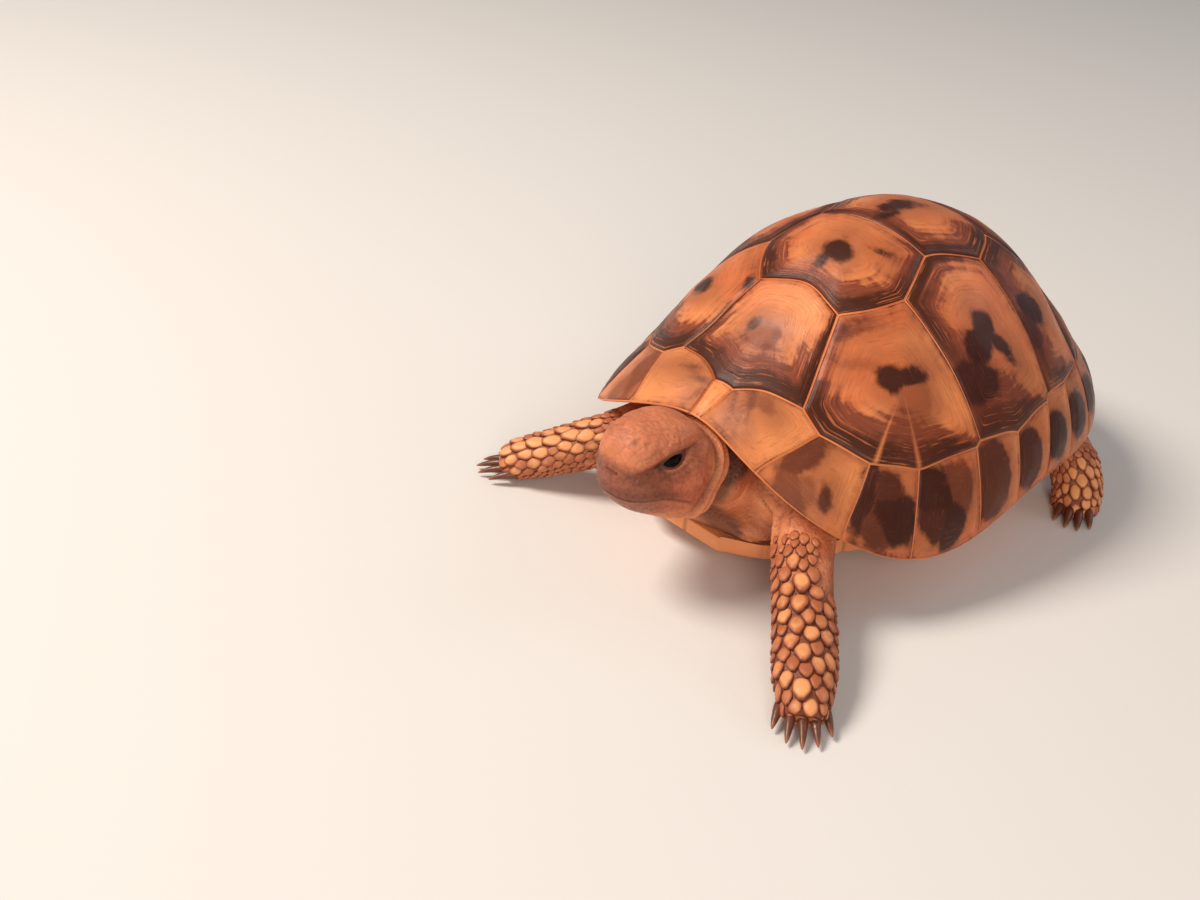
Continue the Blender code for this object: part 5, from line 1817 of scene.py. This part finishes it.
def scales_mesh(skin, name, seed):
    """The scales of one limb as one mesh, laid on the skin and lifted at their free edges."""
    generator = np.random.default_rng(seed)
    points, triangles, path = limb_surface(skin, name)
    tree = BVHTree.FromPolygons(points.tolist(), triangles.tolist())
    a, b, c = (points[triangles[:, i]] for i in range(3))
    normals = np.cross(b - a, c - a)
    area = np.linalg.norm(normals, axis=1) / 2
    normals = unit(normals)
    count = int(area.sum() * 1e6 * SAMPLES_PER_SQUARE_MM)
    pick = generator.choice(len(triangles), count, p=area / area.sum())
    r, s = np.sqrt(generator.random(count))[:, None], generator.random(count)[:, None]
    samples = a[pick] * (1 - r) + b[pick] * r * (1 - s) + c[pick] * r * s
    share, _ = limb_share(samples, path)
    bare_side, bare_to = SCALED[name][4:]
    bare = smoothstep(0.20, 0.45, normals[pick] @ unit(np.array(bare_side)))
    bare *= smoothstep(bare_to, bare_to - 0.08, share)
    start, face = SCALED[name][:2]
    # the scales begin on the side that faces ahead and spread round the limb further down
    spread = SPREAD[0] - SPREAD[1] * smoothstep(start, start + SPREAD[2], share)
    ahead = normals[pick] @ unit(np.array(face)) > spread
    keep = (share > start) & (samples[:, 2] > SOLE_CLEARANCE) & (bare < 0.5) & ahead
    samples, share, facing = samples[keep], share[keep], normals[pick][keep]
    widths = scale_half_width(name, share, facing) * generator.uniform(0.72, 1.06, len(samples))
    run = unit(path[-1] - path[0])
    drawn_in = samples - (1 - SCALE_STRETCH) * (samples @ run)[:, None] * run
    picked = throw_sites(drawn_in, widths, generator)
    sites, widths = drawn_in[picked], widths[picked]
    sites = settle_sites(sites, widths, drawn_in)
    sites = sites + (1 / SCALE_STRETCH - 1) * (sites @ run)[:, None] * run

    mesh, template = blank_scales(len(sites))
    rounds, heights = np.hypot(template[:, 0], template[:, 1]), template[:, 2]
    angles = np.arctan2(template[:, 1], template[:, 0])
    spots, rims, tones, larges, roots = [], [], [], [], []
    shares, _ = limb_share(sites, path)
    heading = unit(np.gradient(path, axis=0))
    largest = SCALED[name][2]
    for index, site in enumerate(sites):
        root, normal = (np.array(item) for item in tree.find_nearest(Vector(site))[:2])
        distal = heading[round(shares[index] * (len(path) - 1))]
        along = unit(distal - normal * (distal @ normal))
        across = np.cross(normal, along)
        around, reach = scale_outline(index, sites, widths, along, across)
        far = np.interp(angles, around, reach, period=2 * math.pi) * rounds
        u, v = far * np.cos(angles) / SCALE_STRETCH, far * np.sin(angles)
        tone = generator.uniform(-1, 1)
        large = widths[index] / largest
        rise = sizes().scale_depth * (0.55 + 0.75 * large)
        lean = 0.20 + 0.12 * large
        for x, y, height in zip(u, v, heights):
            near = tree.find_nearest(Vector(root + along * x + across * y))
            spot, up = (np.array(item) for item in near[:2])
            lift = rise * height + lean * x * (height > 0) * (0.5 + 0.5 * height)
            spots.append(spot + unit(0.6 * up + 0.4 * normal) * lift)
        rims.append(rounds)
        tones += [tone] * len(template)
        larges += [large] * len(template)
        angle = math.atan2(normal @ np.cross(heading[0], (0, 0, 1)), normal[2]) / (2 * math.pi) + 0.5
        roots.append((angle, shares[index]))
    spots = np.array(spots)
    spots[:, 2] = np.maximum(spots[:, 2], SCALES_OVER_FLOOR)
    set_points(mesh, spots)
    set_fields(mesh, rim=np.concatenate(rims), tone=np.array(tones), large=np.array(larges))
    lay_patches(mesh, template, np.array(roots), list(SCALED).index(name))
    return mesh


def lay_patches(mesh, template, roots, place_in_row):
    """Gives each scale a small patch at its root's place on the limb's unwrap."""
    corner = np.empty(len(mesh.loops), np.int32)
    mesh.loops.foreach_get("vertex_index", corner)
    local = template[corner % len(template), :2]
    root = roots[corner // len(template)]
    row = np.stack([(place_in_row + 0.05 + root[:, 0] * 0.9) / len(SCALED), 0.02 + 0.96 * root[:, 1]], 1)
    layer = mesh.uv_layers.new(name="OFBake")
    layer.data.foreach_set("uv", (row + local * PATCH / 2).astype(np.float32).ravel())


def scale_material():
    """Small bosses of dry horn: waxy and pale on top, brown round the edge."""
    material, tree, shader = new_material("scale_horn")
    spot = add_node(tree, "ShaderNodeTexCoord").outputs["Object"]
    rim, tone, large = (field_of(tree, name) for name in ("rim", "tone", "large"))
    cloud = speckle(tree, spot, fineness(2.38), 3.0)
    fleck = speckle(tree, spot, fineness(0.556), 4.0, 0.6)
    pale = times(tree, ramp(tree, large, 0.50, 0.95, 0.06, 1.0), ramp(tree, rim, 0.96, 0.45))
    pale = reckon(tree, "ADD", pale, times(tree, tone, 0.20))
    pale = reckon(tree, "ADD", pale, ramp(tree, cloud, 0.3, 0.7, -0.18, 0.18))
    base = mixed(tree, ramp(tree, pale, 0.0, 0.95), colour("scale_edge"), colour("scale"))
    base = mixed(tree, ramp(tree, rim, 0.80, 0.99, 0.0, 0.85), base, colour("skin_dark"))
    base = mixed(tree, ramp(tree, fleck, 0.55, 0.8, 0.0, 0.25), base, colour("skin_dark"))
    tree.links.new(base, shader.inputs["Base Color"])
    tree.links.new(ramp(tree, fleck, 0.3, 0.7, 0.42, 0.60), shader.inputs["Roughness"])
    shader.inputs["IOR"].default_value = 1.50
    tree.links.new(bumped(tree, fleck, 0.00010, 0.35), shader.inputs["Normal"])
    return material


class TORTOISE_OT_scales(bpy.types.Operator):
    """Lays the scales on the legs and the tail"""

    bl_idname = "tortoise.scales"
    bl_label = "Scales"

    def execute(self, context):
        skin = bpy.data.objects["skin"].data
        material = scale_material()
        for seed, name in enumerate(SCALED):
            add_piece(f"scales_{name}", scales_mesh(skin, name, 31 + seed), material)
        return {"FINISHED"}


# ---- the studio ----

# The same fit made the camera's place in shell lengths, its directions and its lens in millimetres.
CAMERA_AT = (1.2378, -2.0362, 1.3828)
CAMERA_RIGHT = (0.69670821, 0.71270315, 0.08155913)
CAMERA_DOWN = (0.4272664, -0.32095104, -0.84524189)
CAMERA_FORWARD = (-0.57623007, 0.62373444, -0.52812334)
CAMERA_LENS = 41.8455
# lamps: place in metres, size in metres, power in watts, colour
LAMPS = (
    ((-0.34, -0.36, 0.62), 0.30, 5.7, "#FFF3E8"),
    ((0.55, -0.55, 0.40), 0.45, 3.0, "#FFEFE2"),
    ((0.30, 0.60, 0.50), 0.50, 0.8, "#EAF0FF"),
)
FLOOR_SIZE = 3.0


def floor_material():
    """Plain matt board, pale and even."""
    material, _, shader = new_material("pale_board")
    shader.inputs["Base Color"].default_value = linear("#E4E1DC")
    shader.inputs["Roughness"].default_value = 0.9
    return material


def build_stage():
    bm = bmesh.new()
    bmesh.ops.create_grid(bm, x_segments=1, y_segments=1, size=FLOOR_SIZE / 2)
    mesh = new_mesh("floor", bm)
    mesh.materials.append(floor_material())
    floor = bpy.data.objects.new("floor", mesh)
    bpy.context.scene.collection.objects.link(floor)
    for index, (spot, size, power, tint) in enumerate(LAMPS):
        lamp = bpy.data.lights.new(f"lamp_{index + 1}", "AREA")
        lamp.shape, lamp.size, lamp.energy = "DISK", size, power
        lamp.color = linear(tint)[:3]
        item = bpy.data.objects.new(lamp.name, lamp)
        item.location = spot
        aim = Vector((0, 0, 0.03)) - Vector(spot)
        item.rotation_euler = aim.to_track_quat("-Z", "Y").to_euler()
        bpy.context.scene.collection.objects.link(item)
    world = bpy.data.worlds.new("room")
    world.use_nodes = True
    background = world.node_tree.nodes["Background"]
    background.inputs["Color"].default_value = linear("#E9EAEC")
    background.inputs["Strength"].default_value = 0.25
    bpy.context.scene.world = world
    bpy.context.scene.view_settings.view_transform = "Standard"


def build_camera():
    lens = bpy.data.cameras.new("camera")
    lens.lens = CAMERA_LENS
    lens.sensor_width = 36.0
    lens.clip_start = 0.01
    camera = bpy.data.objects.new("camera", lens)
    up, back = ([-part for part in axis] for axis in (CAMERA_DOWN, CAMERA_FORWARD))
    turned = Matrix((CAMERA_RIGHT, up, back)).transposed().to_4x4()
    camera.matrix_world = Matrix.Translation(place(CAMERA_AT)) @ turned
    bpy.context.scene.collection.objects.link(camera)
    bpy.context.scene.camera = camera


class TORTOISE_OT_studio(bpy.types.Operator):
    """Builds the floor, the lamps and the camera"""

    bl_idname = "tortoise.studio"
    bl_label = "Studio"

    def execute(self, context):
        build_stage()
        build_camera()
        return {"FINISHED"}


class TORTOISE_PT_panel(bpy.types.Panel):
    """Lists the pieces in the order they are built"""

    bl_label = "Young tortoise"
    bl_idname = "TORTOISE_PT_panel"
    bl_space_type = "VIEW_3D"
    bl_region_type = "UI"
    bl_category = "Tortoise"

    def draw(self, context):
        for group in (context.scene.tortoise_sizes, context.scene.tortoise_colours):
            box = self.layout.box()
            for name in group.__annotations__:
                box.prop(group, name)
        for operator in BUILD_ORDER:
            self.layout.operator(operator.bl_idname)


BUILD_ORDER = (
    TORTOISE_OT_carapace,
    TORTOISE_OT_plastron,
    TORTOISE_OT_skin,
    TORTOISE_OT_scales,
    TORTOISE_OT_claws,
    TORTOISE_OT_eyes,
    TORTOISE_OT_studio,
)
CLASSES = (TortoiseSizes, TortoiseColours, *BUILD_ORDER, TORTOISE_PT_panel)


def register():
    for item in CLASSES:
        bpy.utils.register_class(item)
    bpy.types.Scene.tortoise_sizes = bpy.props.PointerProperty(type=TortoiseSizes)
    bpy.types.Scene.tortoise_colours = bpy.props.PointerProperty(type=TortoiseColours)


def unregister():
    del bpy.types.Scene.tortoise_colours
    del bpy.types.Scene.tortoise_sizes
    for item in reversed(CLASSES):
        bpy.utils.unregister_class(item)


def main():
    register()
    for operator in BUILD_ORDER:
        family, name = operator.bl_idname.split(".")
        getattr(getattr(bpy.ops, family), name)()


if __name__ == "__main__":
    main()
